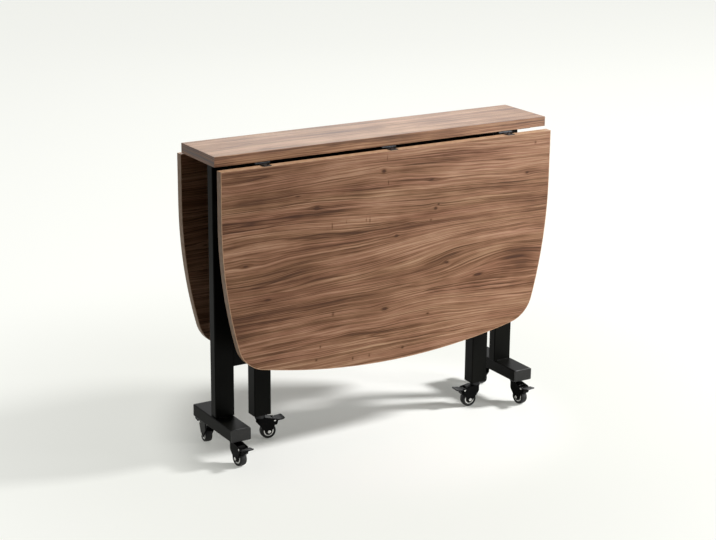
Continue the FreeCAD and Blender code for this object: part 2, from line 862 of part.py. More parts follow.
def closeOutside(sketch, arc, corners):
    """Close an arc's outer side with lines, from its second end round to its first."""
    lines = []
    for start, end in zip(corners, corners[1:]):
        geo = sketch.addGeometry(Part.LineSegment(vector(*start), vector(*end)), False)
        if lines:
            pin(sketch, geo, 1, *start)
        lines.append(geo)
    for a, b in zip(lines, lines[1:]):
        constrain(sketch, "Coincident", a, 2, b, 1)
    constrain(sketch, "Coincident", lines[-1], 2, arc, 1)
    constrain(sketch, "Coincident", arc, 2, lines[0], 1)


def fork(name, x, y, turn):
    """The pressed fork: two cheeks that taper down to the axle, joined by a top."""
    body = newBody(name)
    cheek = newSketch(body, name + "Cheek", "XZ_Plane")
    cheekOutline(cheek)
    pad(body, cheek, 2 * forkOutside, midplane=True)
    slot = newSketch(body, name + "Slot", "YZ_Plane")
    rectangle(slot, -forkInside, 0, forkInside, named("fork_top") - named("fork_top_thickness"))
    pocket(body, slot, midplane=True, name="Slot")
    noseCut(body, name)
    kingpin = newSketch(body, name + "KingPinHole", "XY_Plane")
    circle(kingpin, 0, 0, named("kingpin_radius") + named("running_clearance"))
    pocket(body, kingpin, named("fork_top") + 1, reverse=True, name="KingPinHole")
    pins = newSketch(body, name + "PinHoles", "XZ_Plane")
    circle(pins, axleX, axleZ, named("axle_radius"))
    circle(pins, pedalX, pedalZ, named("pedal_pin_radius") + named("running_clearance"))
    pocket(body, pins, midplane=True, name="PinHoles")
    place(body, x, y, turn=turn)
    return body


def axle(name, x, y, turn):
    """The riveted axle, with a low flat head at each end."""
    body = newBody(name)
    section = newSketch(body, name + "Section", "YZ_Plane", offset=axleX, slide=(0, axleZ))
    radius, head = named("axle_radius"), named("axle_head_radius")
    end = forkOutside + named("axle_head_height")
    polygon(section, [(-end, 0), (end, 0), (end, head), (forkOutside, head),
                      (forkOutside, radius), (-forkOutside, radius), (-forkOutside, head),
                      (-end, head)])
    revolve(body, section, "H_Axis")
    place(body, x, y, turn=turn)
    return body


def wheelPiece(name, right, x, y, turn):
    """Turn half a profile, drawn out from the wheel's middle, and its mirror about the axle."""
    body = newBody(name)
    section = newSketch(body, name + "Section", "YZ_Plane", offset=axleX, slide=(0, axleZ))
    polygon(section, right + [(-px, py) for px, py in reversed(right)])
    revolve(body, section, "H_Axis")
    place(body, x, y, turn=turn)
    return body


def wheelCore(name, x, y, turn):
    """The wheel's moulded core: a long hub, a sunk web and a rim that holds the tyre."""
    bore = named("axle_radius") + named("running_clearance")
    face = named("wheel_width") / 2 - named("core_inset")
    hub, web, sunk = named("hub_radius"), named("web_radius"), face - named("web_depth")
    hubEnd = named("wheel_width") / 2
    right = [(hubEnd, bore), (hubEnd, hub), (sunk, hub), (sunk, web), (face, web),
             (face, named("core_radius"))]
    return wheelPiece(name, right, x, y, turn)


def tyre(name, x, y, turn):
    """The tyre: a flat tread with a bevel down to each shoulder."""
    half = named("wheel_width") / 2
    right = [(half, named("core_radius")), (half, named("tyre_shoulder_radius")),
             (named("tread_width") / 2, named("wheel_radius"))]
    return wheelPiece(name, right, x, y, turn)


def treadCorners(body, name):
    """Bevel the two outer corners of the pedal's tread, seen from above."""
    tip, half, corner = named("pedal_reach"), named("pedal_width") / 2, named("pedal_corner")
    sketch = newSketch(body, name + "Corners", "XY_Plane")
    for sign in (1, -1):
        polygon(sketch, [(tip - corner, half * sign), (tip + 1, half * sign),
                         (tip + 1, (half - corner) * sign), (tip, (half - corner) * sign)])
    pocket(body, sketch, named("pedal_tip_height") + 1, reverse=True, name="Corners")


def pedal(name, x, y, turn):
    """The brake pedal: a wide bent tread behind the fork, a hub and a shoe between its cheeks."""
    body = newBody(name)
    tip, tipZ = named("pedal_reach"), named("pedal_tip_height")
    thick = named("pedal_thickness")
    start = pedalX + named("fork_ear_radius") + 0.8
    top = pedalZ + 2.6
    low = pedalZ - named("brake_shoe_length")
    crease = tip - 8
    creaseZ = tipZ - 1.6
    tread = newSketch(body, name + "Tread", "XZ_Plane")
    polygon(tread, [(start, top), (crease, creaseZ), (tip - 1, tipZ), (tip, tipZ - 1),
                    (tip - 0.6, tipZ - thick), (crease + 0.8, creaseZ - thick),
                    (start, top - thick)])
    pad(body, tread, named("pedal_width"), midplane=True)
    treadCorners(body, name)
    inner = 2 * (forkInside - named("pedal_side_gap"))
    neck = newSketch(body, name + "Neck", "XZ_Plane")
    hub = named("pedal_hub_radius")
    polygon(neck, [(pedalX, pedalZ + hub * 0.9), (start + 1, top - 0.4), (start + 5, top - 0.2),
                   (start + 1, low), (pedalX + 2.5, low - 1), (pedalX, pedalZ - hub * 0.9)])
    pad(body, neck, inner, midplane=True, name="Neck")
    barrel = newSketch(body, name + "Hub", "XZ_Plane")
    circle(barrel, pedalX, pedalZ, hub)
    pad(body, barrel, inner, midplane=True, name="Hub")
    pins = newSketch(body, name + "Pins", "XZ_Plane")
    circle(pins, pedalX, pedalZ, named("pedal_pin_radius"))
    pad(body, pins, 2 * forkOutside, midplane=True, name="Pins")
    place(body, x, y, turn=turn)
    return body


# ---------------------------------------------------------------- putting it together

keep(centreBoard(), "centre_board")
for side, word in (("Front", "front"), ("Back", "back")):
    keep(leafPanel(side), word + "_leaf")
    keep(leafBand(side), word + "_edge_band")
    keep(group("HingeTabs" + side, [hingeTab(side, i) for i in range(3)]), word + "_hinge_tabs")
keep(leafStop("LeafStopFront", 1), "front_leaf_stop")
keep(leafStop("LeafStopBack", -1), "back_leaf_stop")
bothSides = [(side, i) for side in ("Front", "Back") for i in range(3)]
keep(group("HingePlates", [hingePlate(side, i) for side, i in bothSides]), "hinge_plates")
keep(group("HingePins", [hingePin(side, i) for side, i in bothSides]), "hinge_pins")

keep(foot("LeftFoot", -1), "left_foot")
keep(foot("RightFoot", 1), "right_foot")
caps = [footCap(side, end) for side in (-1, 1) for end in (-1, 1)]
keep(group("FootCaps", caps), "foot_end_caps")
keep(post("LeftPost", -1), "left_post")
keep(post("RightPost", 1), "right_post")
keep(rail("LowerRail", named("lower_rail_height"), named("lower_rail_bottom")), "lower_rail")
keep(rail("UpperRail", named("upper_rail_height"), upperRailUnder), "upper_rail")
keep(group("BoardPlates", [boardPlate(-1), boardPlate(1)]), "board_plates")
lugs = [pivotLug(side, upper) for side in (-1, 1) for upper in (0, 1)]
keep(group("PivotLugs", lugs), "pivot_lugs")

for side, word in ((-1, "left"), (1, "right")):
    name = word.capitalize() + "Gate"
    keep(gateLeg(name + "Leg", side), word + "_gate_leg")
    upperArm = pivotTop - named("gate_arm_inset") - named("gate_arm_height")
    lowerArm = pivotUnder + named("gate_arm_inset")
    arms = [gateArm(side, lowerArm, name + "LowerArm"), gateArm(side, upperArm, name + "UpperArm")]
    keep(group(name + "Arms", arms), word + "_gate_arms")
    keep(pivotTube(name + "Pivot", side), word + "_gate_pivot_tube")
    stem = casterStem(name + "Stem", legX(side), gateY(side), True)
    keep(stem, word + "_gate_caster_stem")

corners = [(footPlace * sx, casterFromMiddle * sy) for sx in (-1, 1) for sy in (-1, 1)]
stems = [casterStem("FootStem%d" % i, x, y, False) for i, (x, y) in enumerate(corners)]
keep(group("FootStems", stems), "foot_caster_stems")

casters = {
    "left_front": corners[0] + (named("front_caster_turn"),),
    "left_back": corners[1] + (named("back_caster_turn"),),
    "right_front": corners[2] + (named("front_caster_turn"),),
    "right_back": corners[3] + (named("back_caster_turn"),),
    "left_gate": (legX(-1), gateY(-1), named("left_gate_caster_turn")),
    "right_gate": (legX(1), gateY(1), named("right_gate_caster_turn")),
}
for word, (x, y, turn) in casters.items():
    tag = "".join(part.capitalize() for part in word.split("_"))
    keep(fork("Fork" + tag, x, y, turn), word + "_caster_fork")
    keep(axle("Axle" + tag, x, y, turn), word + "_caster_axle")
    keep(wheelCore("Core" + tag, x, y, turn), word + "_wheel_core")
    keep(tyre("Tyre" + tag, x, y, turn), word + "_tyre")
    keep(pedal("Pedal" + tag, x, y, turn), word + "_brake_pedal")

doc.recompute()


# ---------------------------------------------------------------- checks and export

broken = [o.Name for o in doc.Objects if "Invalid" in o.State or "Error" in o.State]
if broken:
    raise RuntimeError("objects that did not build: %s" % ", ".join(broken))
for thing in subparts:
    if thing.Shape.isNull() or not thing.Shape.isValid() or not thing.Shape.Solids:
        raise RuntimeError("no sound solid in %s" % thing.Label)

os.makedirs("parts", exist_ok=True)
for thing in subparts:
    thing.Shape.exportStep("parts/%s.step" % thing.Label)
print("%d sub-parts written" % len(subparts))
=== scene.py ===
import json
import math
import bmesh
import bpy
import numpy as np
from mathutils import Matrix, Vector


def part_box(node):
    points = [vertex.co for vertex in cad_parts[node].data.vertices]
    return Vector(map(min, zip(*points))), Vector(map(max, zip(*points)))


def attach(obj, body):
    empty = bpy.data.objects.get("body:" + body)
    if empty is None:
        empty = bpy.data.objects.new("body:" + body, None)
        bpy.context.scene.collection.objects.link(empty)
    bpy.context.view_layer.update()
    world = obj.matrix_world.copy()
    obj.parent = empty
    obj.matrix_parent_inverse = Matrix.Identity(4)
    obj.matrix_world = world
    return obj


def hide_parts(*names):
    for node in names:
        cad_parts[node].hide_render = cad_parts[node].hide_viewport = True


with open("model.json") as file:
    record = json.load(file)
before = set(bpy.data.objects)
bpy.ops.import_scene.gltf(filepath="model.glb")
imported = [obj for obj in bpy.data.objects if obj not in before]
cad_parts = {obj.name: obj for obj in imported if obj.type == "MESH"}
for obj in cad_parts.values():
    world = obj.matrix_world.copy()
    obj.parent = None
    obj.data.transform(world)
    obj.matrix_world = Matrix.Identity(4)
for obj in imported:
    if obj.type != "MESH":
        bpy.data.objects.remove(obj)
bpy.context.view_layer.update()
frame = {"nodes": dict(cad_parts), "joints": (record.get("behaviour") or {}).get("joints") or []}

nodes = frame["nodes"]
joints = {joint["name"]: joint for joint in frame["joints"]}
casters = ["left_front", "left_back", "right_front", "right_back", "left_gate", "right_gate"]
print("frame loaded:", len(nodes), "nodes")


# Small helpers

def linear(hexColour):  # sRGB hex to the linear colour that the shaders take
    channels = [int(hexColour[i:i + 2], 16) / 255 for i in (1, 3, 5)]
    return tuple(c / 12.92 if c <= 0.04045 else ((c + 0.055) / 1.055) ** 2.4 for c in channels) + (1.0,)


def addNode(tree, kind, inputs=None, **settings):
    node = tree.nodes.new(kind)
    for name, value in settings.items():
        setattr(node, name, value)
    for socket, value in (inputs or {}).items():
        if isinstance(value, bpy.types.NodeSocket):
            tree.links.new(value, node.inputs[socket])
        else:
            node.inputs[socket].default_value = value
    return node


def newMaterial(name):  # an empty tree with one Principled shader wired to the output
    material = bpy.data.materials.new(name)
    material.use_nodes = True
    tree = material.node_tree
    tree.nodes.clear()
    shader = addNode(tree, "ShaderNodeBsdfPrincipled")
    addNode(tree, "ShaderNodeOutputMaterial", {"Surface": shader.outputs[0]})
    return material, tree, shader


def setRamp(node, stops):
    ramp = node.color_ramp
    while len(ramp.elements) < len(stops):
        ramp.elements.new(0.5)
    for element, (place, colour) in zip(ramp.elements, stops):
        element.position = place
        element.color = linear(colour)


def dress(material, *names):  # give CAD nodes a material
    for name in names:
        nodes[name].data.materials.clear()
        nodes[name].data.materials.append(material)


mergeWithin, flatEdge = 2e-6, 1e-7  # metres: points taken as one, edges taken as none


def meshObject(name, grids, material, smooth=True):
    # one object from grids of points, each (rows, columns, 3); closed ones join last column
    # to first
    points, faces, offset = [], [], 0
    for grid, closed in grids:
        rows, columns = grid.shape[:2]
        index = offset + np.arange(rows * columns).reshape(rows, columns)
        left = index if closed else index[:, :-1]
        right = np.roll(index, -1, axis=1) if closed else index[:, 1:]
        quads = np.stack([left[:-1], right[:-1], right[1:], left[1:]], axis=-1)
        faces.append(quads.reshape(-1, 4))
        points.append(grid.reshape(-1, 3))
        offset += rows * columns
    mesh = bpy.data.meshes.new(name)
    mesh.from_pydata(np.concatenate(points).tolist(), [], np.concatenate(faces).tolist())
    mesh.materials.append(material)
    work = bmesh.new()
    work.from_mesh(mesh)
    bmesh.ops.remove_doubles(work, verts=work.verts, dist=mergeWithin)
    bmesh.ops.dissolve_degenerate(work, edges=work.edges, dist=flatEdge)
    bmesh.ops.recalc_face_normals(work, faces=work.faces)
    work.to_mesh(mesh)
    work.free()
    mesh.polygons.foreach_set("use_smooth", [smooth] * len(mesh.polygons))
    thing = bpy.data.objects.new(name, mesh)
    bpy.context.scene.collection.objects.link(thing)
    return thing


# Camera, fitted to the photograph: metres, degrees, millimetres of sensor, and focal length
# in the photograph's pixels
cameraSettings = {
    "place": (-2.1396, -3.4695, 1.6257),
    "yaw": 31.3,
    "pitch": -16.8,
    "roll": 0.5,
    "focalPixels": 1750.4,
    "imageWidth": 716,
    "sensor": 36,
    "farthest": 200,
}


def makeCamera(s):
    yaw, pitch, roll = (math.radians(s[k]) for k in ("yaw", "pitch", "roll"))
    forward = Vector((math.sin(yaw) * math.cos(pitch), math.cos(yaw) * math.cos(pitch), math.sin(pitch)))
    level = forward.cross(Vector((0, 0, 1))).normalized()
    upright = level.cross(forward)
    right = level * math.cos(roll) + upright * math.sin(roll)
    up = right.cross(forward)
    data = bpy.data.cameras.new("photoCamera")
    data.sensor_fit = "HORIZONTAL"
    data.sensor_width = s["sensor"]
    data.lens = s["focalPixels"] / s["imageWidth"] * data.sensor_width
    data.clip_end = s["farthest"]
    camera = bpy.data.objects.new("photoCamera", data)
    turn = Matrix((right, up, -forward)).transposed()
    camera.matrix_world = Matrix.Translation(s["place"]) @ turn.to_4x4()
    bpy.context.scene.collection.objects.link(camera)
    bpy.context.scene.camera = camera


makeCamera(cameraSettings)
print("camera set")


# Walnut-decor laminate: a printed sheet under a satin melamine skin. It shows long fine
# streaks along the piece, soft light and dark bands, thin growth lines, a few small eyes,
# and a sheen that washes the top out at a low angle; part of that sheen is painted, as the board's paler
# colours and a paler strip along its front.
# Places are (along, across) in metres on the face. In each grain:
# ridges bend the grain lines near a point; lift is in metres, tilt is a slope
# eyes are (along, across, half length, half height, depth)
# longLines are (across, middle along, half length, half width in mm, depth)
# patches are (along, across, half length, half height, shade), paler above 0; most are the decor's own
# light and dark patches, a few broad ones are painted light and shade
# across points across the grain, faceStep gives every face a pattern of its own, edgedSides
# are the narrow sides, and figure is how far the waves bend the grain
leafColours = [(0.12, "#4B2C19"), (0.32, "#6E4930"), (0.50, "#8D6449"), (0.66, "#A47A5E"),
               (0.88, "#C0987A")]
# the board's ramp is the leaf's made paler: painted sheen for the low-angle wash on the top, as the board
# is the same laminate as the leaves
boardColoursWithSheen = [(0.12, "#54331D"), (0.32, "#785137"), (0.50, "#996F50"), (0.66, "#B08766"),
                (0.88, "#CCA485")]
leafGrain = {
    "ridges": [
        {"at": (0.00, 0.590), "spread": (0.90, 0.060), "lift": 0.000, "tilt": -0.055},
        {"at": (0.25, 0.665), "spread": (0.40, 0.045), "lift": 0.000, "tilt": -0.050},
        {"at": (0.02, 0.450), "spread": (0.46, 0.062), "lift": 0.000, "tilt": 0.165},
        {"at": (-0.28, 0.525), "spread": (0.17, 0.055), "lift": 0.009, "tilt": -0.010},
        {"at": (-0.30, 0.455), "spread": (0.16, 0.035), "lift": 0.007, "tilt": 0.060},
        {"at": (0.16, 0.415), "spread": (0.14, 0.032), "lift": -0.006, "tilt": 0.080},
        {"at": (0.37, 0.415), "spread": (0.13, 0.036), "lift": 0.009, "tilt": 0.000},
        {"at": (-0.02, 0.340), "spread": (0.10, 0.036), "lift": -0.007, "tilt": 0.050},
        {"at": (0.24, 0.315), "spread": (0.30, 0.045), "lift": 0.000, "tilt": -0.090},
    ],
    "eyes": [(-0.029, 0.669, 0.0052, 0.0040, 0.40), (-0.209, 0.603, 0.0050, 0.0032, 0.34),
             (-0.259, 0.637, 0.0060, 0.0020, 0.20), (0.118, 0.561, 0.0042, 0.0034, 0.34),
             (0.126, 0.570, 0.0030, 0.0020, 0.26), (0.154, 0.421, 0.0052, 0.0030, 0.40),
             (0.244, 0.377, 0.0110, 0.0028, 0.40), (-0.022, 0.331, 0.0080, 0.0042, 0.34),
             (-0.338, 0.403, 0.0070, 0.0026, 0.26), (-0.165, 0.341, 0.0032, 0.0040, 0.22),
             (0.101, 0.300, 0.0040, 0.0020, 0.28), (-0.199, 0.265, 0.0022, 0.0030, 0.26),
             (0.030, 0.225, 0.0032, 0.0026, 0.34), (0.385, 0.617, 0.0045, 0.0024, 0.30),
             (-0.394, 0.491, 0.0060, 0.0022, 0.26), (0.105, 0.633, 0.0060, 0.0018, 0.22),
             (0.008, 0.508, 0.0044, 0.0036, 0.20), (-0.016, 0.640, 0.0012, 0.0050, 0.22),
             (-0.020, 0.700, 0.0012, 0.0060, 0.16), (-0.168, 0.555, 0.0014, 0.0060, 0.26),
             (-0.066, 0.556, 0.0014, 0.0060, 0.28), (-0.076, 0.558, 0.0012, 0.0044, 0.22),
             (-0.130, 0.560, 0.0012, 0.0040, 0.12), (0.105, 0.534, 0.0030, 0.0022, 0.20),
             (-0.110, 0.221, 0.0022, 0.0036, 0.22), (-0.064, 0.221, 0.0022, 0.0036, 0.20),
             (-0.210, 0.234, 0.0030, 0.0026, 0.22), (0.408, 0.690, 0.0030, 0.0036, 0.20)],
    "seed": 3.0,
    "across": (0, 0, 1),
    "faceStep": (0, 50, 0),
    "edgedSides": (1, 0, 1),
    "figure": 0.0055,
    "longLines": [(0.692, 0.22, 0.26, 1.8, 0.36), (0.684, 0.10, 0.20, 1.2, 0.24),
                  (0.606, -0.10, 0.60, 1.4, 0.36), (0.600, -0.32, 0.16, 1.4, 0.26),
                  (0.566, -0.25, 0.22, 1.2, 0.24), (0.556, -0.30, 0.18, 1.4, 0.30),
                  (0.546, 0.10, 0.50, 1.2, 0.28), (0.532, -0.30, 0.16, 1.2, 0.22),
                  (0.520, 0.20, 0.30, 1.2, 0.22), (0.498, 0.10, 0.25, 1.2, 0.20),
                  (0.470, 0.25, 0.30, 1.4, 0.28), (0.452, 0.00, 0.24, 1.2, 0.22),
                  (0.430, 0.20, 0.20, 1.4, 0.30), (0.412, 0.05, 0.16, 1.2, 0.24),
                  (0.381, -0.10, 0.34, 1.4, 0.26), (0.345, 0.20, 0.26, 1.6, 0.30),
                  (0.322, -0.25, 0.20, 1.2, 0.20), (0.300, 0.00, 0.50, 1.2, 0.22),
                  (0.272, -0.15, 0.30, 1.2, 0.20), (0.640, -0.20, 0.30, 1.2, 0.20),
                  (0.716, -0.20, 0.30, 1.2, 0.20)],
    "patchesAndPaintedLight": [(0.16, 0.674, 0.18, 0.011, -0.16), (-0.30, 0.594, 0.18, 0.010, -0.12),
                (-0.26, 0.455, 0.14, 0.026, -0.13), (0.37, 0.415, 0.07, 0.026, -0.13),
                (-0.02, 0.345, 0.06, 0.018, -0.10), (-0.28, 0.365, 0.20, 0.012, -0.11),
                (0.22, 0.330, 0.20, 0.009, -0.10), (-0.35, 0.690, 0.14, 0.020, -0.08),
                (-0.14, 0.556, 0.16, 0.016, 0.10), (0.20, 0.618, 0.20, 0.016, 0.08),
                (0.05, 0.470, 0.16, 0.022, 0.09), (0.24, 0.480, 0.16, 0.020, 0.07),
                (-0.06, 0.290, 0.22, 0.020, 0.06), (-0.24, 0.520, 0.12, 0.010, 0.06),
                # the last two are broad: the first darkens the whole left end of the leaf, painted shade
                # where the lamps' light falls off, and the second darkens the right end
                (0.30, 0.275, 0.12, 0.020, 0.05), (-0.40, 0.470, 0.36, 0.400, -0.085),
                (0.47, 0.620, 0.14, 0.300, -0.050)],
    "colours": leafColours,
}
boardGrain = {
    "ridges": [
        {"at": (-0.15, 0.760), "spread": (0.35, 0.060), "lift": 0.005, "tilt": 0.015},
        {"at": (0.22, 0.700), "spread": (0.30, 0.060), "lift": -0.006, "tilt": -0.015},
    ],
    "eyes": [(-0.21, 0.775, 0.0040, 0.0020, 0.16), (0.12, 0.720, 0.0050, 0.0020, 0.16)],
    "seed": 11.0,
    "across": (0, 1, 1),
    "faceStep": (0, 0, 0),
    "edgedSides": (1, 1, 0),
    "figure": 0.004,
    "longLines": [(0.770, -0.10, 0.40, 1.2, 0.18), (0.748, 0.15, 0.40, 1.2, 0.16),
                  (0.712, -0.05, 0.50, 1.4, 0.18), (0.695, 0.20, 0.30, 1.2, 0.16),
                  (0.800, 0.10, 0.40, 1.2, 0.16)],
    # of the board's patches the last two are painted light: a broad paler strip along the front of the top
    # is painted sheen, and a darker left end of the front edge is painted shade
    "patchesAndPaintedLight": [(-0.20, 0.780, 0.20, 0.020, -0.06), (0.15, 0.720, 0.25, 0.020, 0.05),
                (0.00, 0.690, 0.90, 0.034, 0.09), (-0.42, 0.646, 0.26, 0.012, -0.16)],
    "colours": boardColoursWithSheen,
}
# One laminate, each size in millimetres as (along the grain, across it). Real fibres are
# finer than 1.3 mm and are drawn at that so that they show. share is how far each layer of
# streaks moves the tone, which a ramp of colours from 0 to 1 then paints, and depth is how
# much darker a mark is than what lies round it.
laminate = {
    "waves": [{"size": (300, 66), "detail": 1.5, "seed": 1.3, "share": 2.4},
              {"size": (150, 44), "detail": 1.5, "seed": 5.1, "share": 1.3},
              {"size": (60, 18), "detail": 1.5, "seed": 8.6, "share": 0.35}],
    "tone": 0.562,
    "streaks": {
        "bands": {"size": (620, 32), "detail": 1.5, "seed": 2.2, "share": 0.56},
        "rings": {"size": (560, 7.0), "detail": 2.5, "seed": 7.7, "share": 0.64},
        "hairs": {"size": (240, 2.6), "detail": 1.5, "seed": 9.4, "share": 1.02},
        "fibres": {"size": (90, 1.3), "detail": 1.0, "seed": 14.1, "share": 0.62},
        "blotch": {"size": (150, 80), "detail": 2.5, "seed": 4.8, "share": 0.60},
    },
    "growth": [{"size": (900, 40), "detail": 2.0, "seed": 21.0, "depth": 0.26, "sharp": 60},
               {"size": (700, 17), "detail": 2.0, "seed": 27.0, "depth": 0.18, "sharp": 34}],
    "growthFade": {"size": (420, 40), "detail": 1.0, "seed": 3.0, "from": 0.42, "to": 0.62},
    "noiseRoughness": 0.62,
    # the grain opens round an eye with a half length over opensFrom metres, as far out as
    # reach times its half sizes
    "eyes": {"depth": 1.7, "opensFrom": 0.004, "reach": (3.2, 3.0), "opening": 0.7},
    "longLineDepth": 1.15,
    # facing parts the narrow sides from the broad ones; the pattern on the end faces starts
    # stretch metres farther along
    # the end tint turns the end faces redder and less blue: painted colour that offsets the pale reflection
    # they catch at a low angle
    "edging": {"facing": 0.7, "stretch": 3.0, "depth": 0.09, "endTintAgainstReflection": (0.15, -0.15, -0.40)},
    # short dark dashes, real ones 0.3 mm wide, drawn at 0.8 mm so that they show
    "pores": {"size": (14, 0.8), "detail": 0.0, "seed": 31.0, "from": 0.62, "to": 0.74, "shade": 0.87},
    # broad streaks lean a little to pink or to yellow
    "lean": {"size": (380, 22), "detail": 1.0, "seed": 40.0, "tint": (0.0, 0.20, 0.06)},
    # in metres; the hairs sink by their share of it, the pores by all of it
    "relief": {"hairs": 0.35, "depth": 0.00006, "strength": 0.6},
    "glossSpread": (-0.05, 0.07),
}
boardFinish = {"roughness": 0.40, "specular": 0.5}
leafFinish = {"roughness": 0.42, "specular": 0.28}


def faceSpot(tree, grain):
    # where a point lies on its face: along and across in metres, a step that tells one face from
    # another, and 1 or 0 for an end face and for any edged side
    place = addNode(tree, "ShaderNodeTexCoord").outputs
    parts = addNode(tree, "ShaderNodeSeparateXYZ", {0: place["Object"]}).outputs
    across = addNode(tree, "ShaderNodeVectorMath", {0: place["Object"], 1: grain["across"]},
                     operation="DOT_PRODUCT").outputs["Value"]
    step = addNode(tree, "ShaderNodeVectorMath", {0: place["Object"], 1: grain["faceStep"]},
                   operation="DOT_PRODUCT").outputs["Value"]
    turned = addNode(tree, "ShaderNodeVectorMath", {0: place["Normal"]}, operation="ABSOLUTE").outputs[0]
    edging, sides = laminate["edging"], []
    for facing in ((1, 0, 0), grain["edgedSides"]):
        side = addNode(tree, "ShaderNodeVectorMath", {0: turned, 1: facing},
                       operation="DOT_PRODUCT").outputs["Value"]
        sides.append(addNode(tree, "ShaderNodeMath", {0: side, 1: edging["facing"]},
                             operation="GREATER_THAN").outputs[0])
    end, edged = sides
    # on the two end faces the edging's grain runs the short way, on a stretch of its own
    short = addNode(tree, "ShaderNodeMath", {0: parts[1], 1: edging["stretch"]}, operation="ADD").outputs[0]
    along = addNode(tree, "ShaderNodeMix", {0: end, 2: parts[0], 3: short}).outputs[0]
    across = addNode(tree, "ShaderNodeMix", {0: end, 2: across, 3: parts[2]}).outputs[0]
    return {"along": along, "across": across, "step": step, "end": end, "edged": edged,
            "seed": grain["seed"]}


def nearness(tree, spot, middle, spread):
    # how far a point lies along and across from a middle, and how near it is:
    # bell = e ^ -((dx / spread along) ^ 2 + (dw / spread across) ^ 2)
    dx = addNode(tree, "ShaderNodeMath", {0: spot["along"], 1: middle[0]}, operation="SUBTRACT").outputs[0]
    dw = addNode(tree, "ShaderNodeMath", {0: spot["across"], 1: middle[1]}, operation="SUBTRACT").outputs[0]
    far = addNode(tree, "ShaderNodeCombineXYZ", {0: dx, 1: dw}).outputs[0]
    far = addNode(tree, "ShaderNodeVectorMath", {0: far, 1: (1 / spread[0], 1 / spread[1], 0)},
                  operation="MULTIPLY").outputs[0]
    far = addNode(tree, "ShaderNodeVectorMath", {0: far, 1: far}, operation="DOT_PRODUCT").outputs["Value"]
    bell = addNode(tree, "ShaderNodeMath", {0: math.exp(-1), 1: far}, operation="POWER").outputs[0]
    return dx, dw, bell


def streakNoise(tree, spot, value, s, shift=0.0):
    # noise drawn out along the grain, at (along / length, value / width, step + seeds)
    length, width = s["size"]
    x = addNode(tree, "ShaderNodeMath", {0: spot["along"], 1: 1000 / length},
                operation="MULTIPLY").outputs[0]
    y = addNode(tree, "ShaderNodeMath", {0: value, 1: 1000 / width}, operation="MULTIPLY").outputs[0]
    z = addNode(tree, "ShaderNodeMath", {0: spot["step"], 1: s["seed"] + shift + spot["seed"]},
                operation="ADD").outputs[0]
    drawn = addNode(tree, "ShaderNodeCombineXYZ", {0: x, 1: y, 2: z}).outputs[0]
    return addNode(tree, "ShaderNodeTexNoise", {"Vector": drawn, "Scale": 1.0, "Detail": s["detail"],
                                                "Roughness": laminate["noiseRoughness"]}).outputs["Fac"]


def thinLine(tree, value, middle, sharp):
    # 1 where value meets the middle, falling to 0: 1 - |value - middle| * sharp
    off = addNode(tree, "ShaderNodeMath", {0: value, 1: middle}, operation="SUBTRACT").outputs[0]
    off = addNode(tree, "ShaderNodeMath", {0: off}, operation="ABSOLUTE").outputs[0]
    return addNode(tree, "ShaderNodeMath", {0: off, 1: -sharp, 2: 1.0}, operation="MULTIPLY_ADD",
                   use_clamp=True).outputs[0]


def bentLine(tree, spot, grain):
    # the grain line through a point: across, less each ridge's (tilt * dx + lift) * bell, plus
    # slow waves and then quicker ones, which carry every streak with them
    line = spot["across"]
    for ridge in grain["ridges"]:
        dx, _, bell = nearness(tree, spot, ridge["at"], ridge["spread"])
        rise = addNode(tree, "ShaderNodeMath", {0: dx, 1: ridge["tilt"], 2: ridge["lift"]},
                       operation="MULTIPLY_ADD").outputs[0]
        bend = addNode(tree, "ShaderNodeMath", {0: rise, 1: bell}, operation="MULTIPLY").outputs[0]
        line = addNode(tree, "ShaderNodeMath", {0: line, 1: bend}, operation="SUBTRACT").outputs[0]
    for s in laminate["waves"]:
        wave = streakNoise(tree, spot, line, s)
        wave = addNode(tree, "ShaderNodeMath", {0: wave, 1: 0.5}, operation="SUBTRACT").outputs[0]
        line = addNode(tree, "ShaderNodeMath", {0: wave, 1: s["share"] * grain["figure"], 2: line},
                       operation="MULTIPLY_ADD").outputs[0]
    return line


def grainEyes(tree, spot, line, grain):
    # small dark ovals, depth * bell each, with the line pushed off the middle of the longer ones
    s, dark = laminate["eyes"], 0.0
    for x0, w0, halfLength, halfHeight, depth in grain["eyes"]:
        bell = nearness(tree, spot, (x0, w0), (halfLength, halfHeight))[2]
        dark = addNode(tree, "ShaderNodeMath", {0: bell, 1: s["depth"] * depth, 2: dark},
                       operation="MULTIPLY_ADD").outputs[0]
        if halfLength > s["opensFrom"]:
            reach = (s["reach"][0] * halfLength, s["reach"][1] * halfHeight)
            _, dw, bell = nearness(tree, spot, (x0, w0), reach)
            push = addNode(tree, "ShaderNodeMath", {0: dw, 1: s["opening"]},
                           operation="MULTIPLY").outputs[0]
            push = addNode(tree, "ShaderNodeMath", {0: push, 1: bell}, operation="MULTIPLY").outputs[0]
            line = addNode(tree, "ShaderNodeMath", {0: line, 1: push}, operation="SUBTRACT").outputs[0]
    return dark, line


